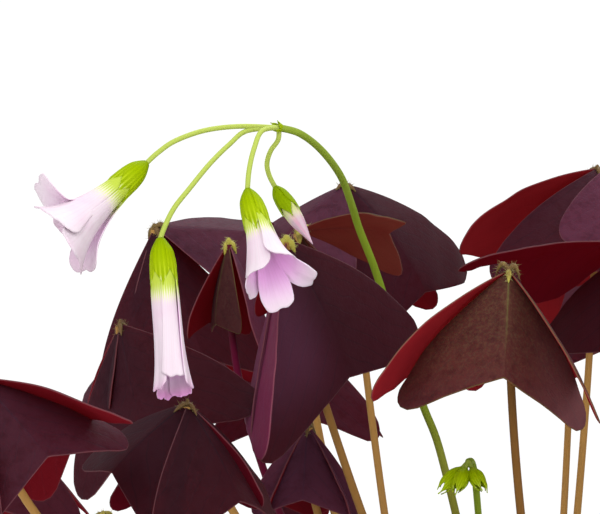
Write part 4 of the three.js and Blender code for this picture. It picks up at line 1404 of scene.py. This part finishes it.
class SHAMROCK_OT_young_cluster(Maker, bpy.types.Operator):
    """Makes the young flower cluster that is still low among the stems"""

    bl_idname = "shamrock.young_cluster"
    bl_label = "Young cluster"

    def make(self, sizes, colours):
        tip = array(YOUNG_STALK[-1])
        points = through(YOUNG_STALK, 10)
        t = np.linspace(0, 1, len(points))
        paths = [(points, {"thickness": 0.48 * MM, "along": t, "tint": 0.8})]
        buds = Solid()
        for index, way in enumerate(YOUNG_BUDS):
            base = tip + unit(way) * 1.4
            paths.append((array([tip, tip + unit(way), base + unit(way) * 0.5]),
                          {"thickness": 0.3 * MM, "along": 1.0, "tint": 0.5}))
            add_sepals(buds, base, way, length=4.5, half=44, draw=Draws(61 + index),
                       thickness=0.2, tips=-0.75)
        finish = stem_finish(
            "young_stalk", colours.stalk_lime, colours.stalk_green, colours.petiole_foot, colours)
        piece = stem_tree().grow("young_stalk", lines(paths), Sides=12, Finish=finish)
        self.keep(piece, "stalk", "stalk_young")
        self.keep(buds.build("young_buds", sepal_finish(colours)), "stalk")


class SHAMROCK_OT_soil(Maker, bpy.types.Operator):
    """Makes the compost with its crumbs, bark and perlite"""

    bl_idname = "shamrock.soil"
    bl_label = "Soil"

    def make(self, sizes, colours):
        wall = POT_TOP_R - RIM_STEP - POT_FOOT_R
        edge = POT_FOOT_R + wall * (SOIL_TOP - 2) / POT_HEIGHT - POT_WALL - FIT
        foot = POT_FOOT_R + wall * POT_FLOOR / POT_HEIGHT - POT_WALL - SOIL_FOOT_IN
        inner = np.linspace(1.2, edge - 0.4, 42)
        top = [(radius, SOIL_TOP - 0.5 - 1.4 * (radius / edge) ** 6) for radius in inner]
        profile = [(foot, POT_FLOOR + FIT), (edge - 0.3, SOIL_TOP - 6), *top[::-1]]
        rings = revolved(profile, SOIL_SIDES)
        draw = Draws(19)
        x, y = rings[2:, :, 0], rings[2:, :, 1]
        rings[2:, :, 2] += (waves(x, y, draw, count=7, length=16) * 0.55
                            + waves(x, y, draw, count=9, length=5) * 0.25)
        solid = Solid()
        add_turned(solid, rings, (0, 0, POT_FLOOR + FIT), (0, 0, SOIL_TOP - 0.3))
        compost = soil_finish(colours, "compost", colours.soil_dark, colours.soil_brown)
        self.keep(solid.build("soil_bed", compost), "soil", "soil")
        ground = self.ground(rings[4:])
        skins = {
            "crumbs": compost,
            "bark": soil_finish(colours, "bark", colours.scale_brown, colours.soil_fleck),
            "perlite": soil_finish(colours, "perlite", colours.perlite, colours.perlite)}
        tree = scatter_tree()
        for name, (density, size, flat, seed) in GRAINS.items():
            piece = tree.grow(
                "soil_" + name, ground.data.copy(), Density=density, Size=sizes.crumb * size * MM,
                Flatness=flat, Seed=seed, Finish=skins[name])
            self.keep(piece, "soil")
        bpy.data.objects.remove(ground)

    @staticmethod
    def ground(rings):
        """The open top of the soil, for grains to lie on."""
        surface = Solid()
        nexts = [(k, (k + 1) % SOIL_SIDES) for k in range(SOIL_SIDES)]
        surface.add(rings.reshape(-1, 3), [
            (low + k, low + n, low + SOIL_SIDES + n, low + SOIL_SIDES + k)
            for low in range(0, (len(rings) - 1) * SOIL_SIDES, SOIL_SIDES) for k, n in nexts])
        return surface.build("ground")


class SHAMROCK_OT_pot(Maker, bpy.types.Operator):
    """Makes the thrown clay pot with its banded rim and drain holes"""

    bl_idname = "shamrock.pot"
    bl_label = "Pot"

    def make(self, sizes, colours):
        band = POT_HEIGHT - RIM_HEIGHT
        rim = POT_TOP_R - RIM_STEP

        def wall(z):
            return POT_FOOT_R + (rim - POT_FOOT_R) * z / POT_HEIGHT

        corners = [
            (4, 0), (POT_FOOT_R, 0), (wall(band), band), (POT_TOP_R - 1.4, band + 0.3),
            (POT_TOP_R, POT_HEIGHT), (rim - POT_WALL + 0.3, POT_HEIGHT),
            (rim - POT_WALL, POT_HEIGHT - 3), (wall(POT_FLOOR) - POT_WALL, POT_FLOOR),
            (4, POT_FLOOR)]
        rings = revolved(self.rounded(corners, EDGE_ROUND), POT_SIDES)
        turn = full_turn(POT_SIDES)[None, :]
        z = rings[..., 2]
        ring = np.hypot(rings[..., 0], rings[..., 1])
        side = ease(z, 2, 6) * (1 - ease(z, band - 4, band - 1)) * ease(ring, 38, 40)
        throwing = 0.09 * np.sin(z * 2.1 + 0.6 * np.sin(turn)) + 0.07 * np.sin(z * 5.3 + 1.5 * turn)
        grow = 1 + side * throwing / ring
        rings[..., 0] *= grow
        rings[..., 1] *= grow
        solid = Solid()
        add_turned(solid, rings, (0, 0, 0), (0, 0, POT_FLOOR))
        shell = solid.build("clay_pot", clay_finish(colours))
        for index in range(3):
            self.drain(shell, math.radians(90 + 120 * index))
        self.keep(shell, "pot", "pot")

    @staticmethod
    def rounded(corners, radius):
        """An outline with soft corners and evenly spaced points."""
        points = [array(corners[0])]
        for before, corner, after in zip(corners, corners[1:], corners[2:]):
            corner, back, on = array(corner), array(before) - corner, array(after) - corner
            cut = min(radius, np.linalg.norm(back) * 0.4, np.linalg.norm(on) * 0.4)
            first, last = corner + unit(back) * cut, corner + unit(on) * cut
            for t in np.linspace(0, 1, 6):
                points.append(first * (1 - t) ** 2 + corner * 2 * t * (1 - t) + last * t * t)
        points.append(array(corners[-1]))
        even = [points[0]]
        for a, b in zip(points, points[1:]):
            parts = max(1, round(np.linalg.norm(b - a) / 1.1))
            even += [a + (b - a) * (i + 1) / parts for i in range(parts)]
        return even

    @staticmethod
    def drain(shell, turn):
        """Cuts one drain hole through the floor."""
        cutter = Solid()
        centre = array([DRAIN_RING * math.cos(turn), DRAIN_RING * math.sin(turn), 0])
        rings = revolved([(DRAIN_R, -3), (DRAIN_R, POT_FLOOR + 3)], 40) + centre
        add_turned(cutter, rings, centre - (0, 0, 3), centre + (0, 0, POT_FLOOR + 3))
        peg = cutter.build("peg")
        cut = shell.modifiers.new("drain", "BOOLEAN")
        cut.operation, cut.object, cut.solver = "DIFFERENCE", peg, "EXACT"
        depsgraph = bpy.context.evaluated_depsgraph_get()
        mesh = bpy.data.meshes.new_from_object(shell.evaluated_get(depsgraph), depsgraph=depsgraph)
        shell.modifiers.clear()
        shell.data = mesh
        bpy.data.objects.remove(peg)


class SHAMROCK_OT_stage(Maker, bpy.types.Operator):
    """Sets up the floor, the soft lights and the camera"""

    bl_idname = "shamrock.stage"
    bl_label = "Stage"

    def make(self, sizes, colours):
        mesh = bpy.data.meshes.new("floor")
        corners = [(-1, -1), (1, -1), (1, 1), (-1, 1)]
        points = [(x * FLOOR_REACH, y * FLOOR_REACH, -FLOOR_DROP) for x, y in corners]
        mesh.from_pydata(points, [], [(0, 1, 2, 3)])
        mesh.materials.append(floor_finish())
        place("floor", mesh)
        self.world()
        for name, lamp in LAMPS.items():
            self.light(name, *lamp)
        self.camera()

    @staticmethod
    def world():
        """White backdrop, and a dimmer white room that lights the plant."""
        world = bpy.data.worlds.new("white_room")
        world.use_nodes = True
        world.node_tree.nodes.clear()
        wiring = Wiring(world.node_tree)
        seen = wiring.node("ShaderNodeLightPath", out="Is Camera Ray")
        room, backdrop = (
            wiring.node("ShaderNodeBackground", inputs={"Color": rgb(WHITE), "Strength": strength})
            for strength in (ROOM_STRENGTH, BACKDROP_STRENGTH))
        inputs = {"Surface": wiring.mix_shaders(seen, room, backdrop)}
        wiring.node("ShaderNodeOutputWorld", inputs=inputs)
        bpy.context.scene.world = world
        bpy.context.scene.view_settings.view_transform = "Standard"


    @staticmethod
    def light(name, where, softness, strength):
        """A distant soft lamp; softness is how many degrees across it looks."""
        lamp = bpy.data.lights.new(name, "SUN")
        lamp.angle = math.radians(softness)
        lamp.energy = strength
        holder = bpy.data.objects.new(name, lamp)
        holder.location = where
        holder.rotation_euler = Vector(where).to_track_quat("Z", "Y").to_euler()
        bpy.context.scene.collection.objects.link(holder)

    @staticmethod
    def camera():
        lens = bpy.data.cameras.new("camera")
        lens.sensor_width = SENSOR
        lens.lens = SENSOR * VIEW_DISTANCE / SEEN_WIDTH
        lens.clip_start = 0.01
        eye = bpy.data.objects.new("camera", lens)
        ahead = Vector((0, math.cos(VIEW_RISE), -math.sin(VIEW_RISE)))
        eye.location = FOCUS - ahead * VIEW_DISTANCE
        eye.rotation_euler = ahead.to_track_quat("-Z", "Y").to_euler()
        bpy.context.scene.collection.objects.link(eye)
        bpy.context.scene.camera = eye


MAKERS = [
    SHAMROCK_OT_stage, SHAMROCK_OT_leaves, SHAMROCK_OT_hubs, SHAMROCK_OT_stems,
    SHAMROCK_OT_flower_stalks, SHAMROCK_OT_flowers, SHAMROCK_OT_young_cluster, SHAMROCK_OT_soil,
    SHAMROCK_OT_pot,
]


class SHAMROCK_PT_maker(bpy.types.Panel):
    """Lists the makers in the sidebar"""

    bl_label = "Purple shamrock"
    bl_idname = "SHAMROCK_PT_maker"
    bl_space_type = "VIEW_3D"
    bl_region_type = "UI"
    bl_category = "Shamrock"

    def draw(self, context):
        for maker in MAKERS:
            self.layout.operator(maker.bl_idname)


CLASSES = [ShamrockSizes, ShamrockColours, *MAKERS, SHAMROCK_PT_maker]


def register():
    for kind in CLASSES:
        bpy.utils.register_class(kind)
    bpy.types.Scene.shamrock_sizes = bpy.props.PointerProperty(type=ShamrockSizes)
    bpy.types.Scene.shamrock_colours = bpy.props.PointerProperty(type=ShamrockColours)


def unregister():
    del bpy.types.Scene.shamrock_sizes
    del bpy.types.Scene.shamrock_colours
    for kind in reversed(CLASSES):
        bpy.utils.unregister_class(kind)


def main():
    register()
    for maker in MAKERS:
        group, name = maker.bl_idname.split(".")
        getattr(getattr(bpy.ops, group), name)()


if __name__ == "__main__":
    main()
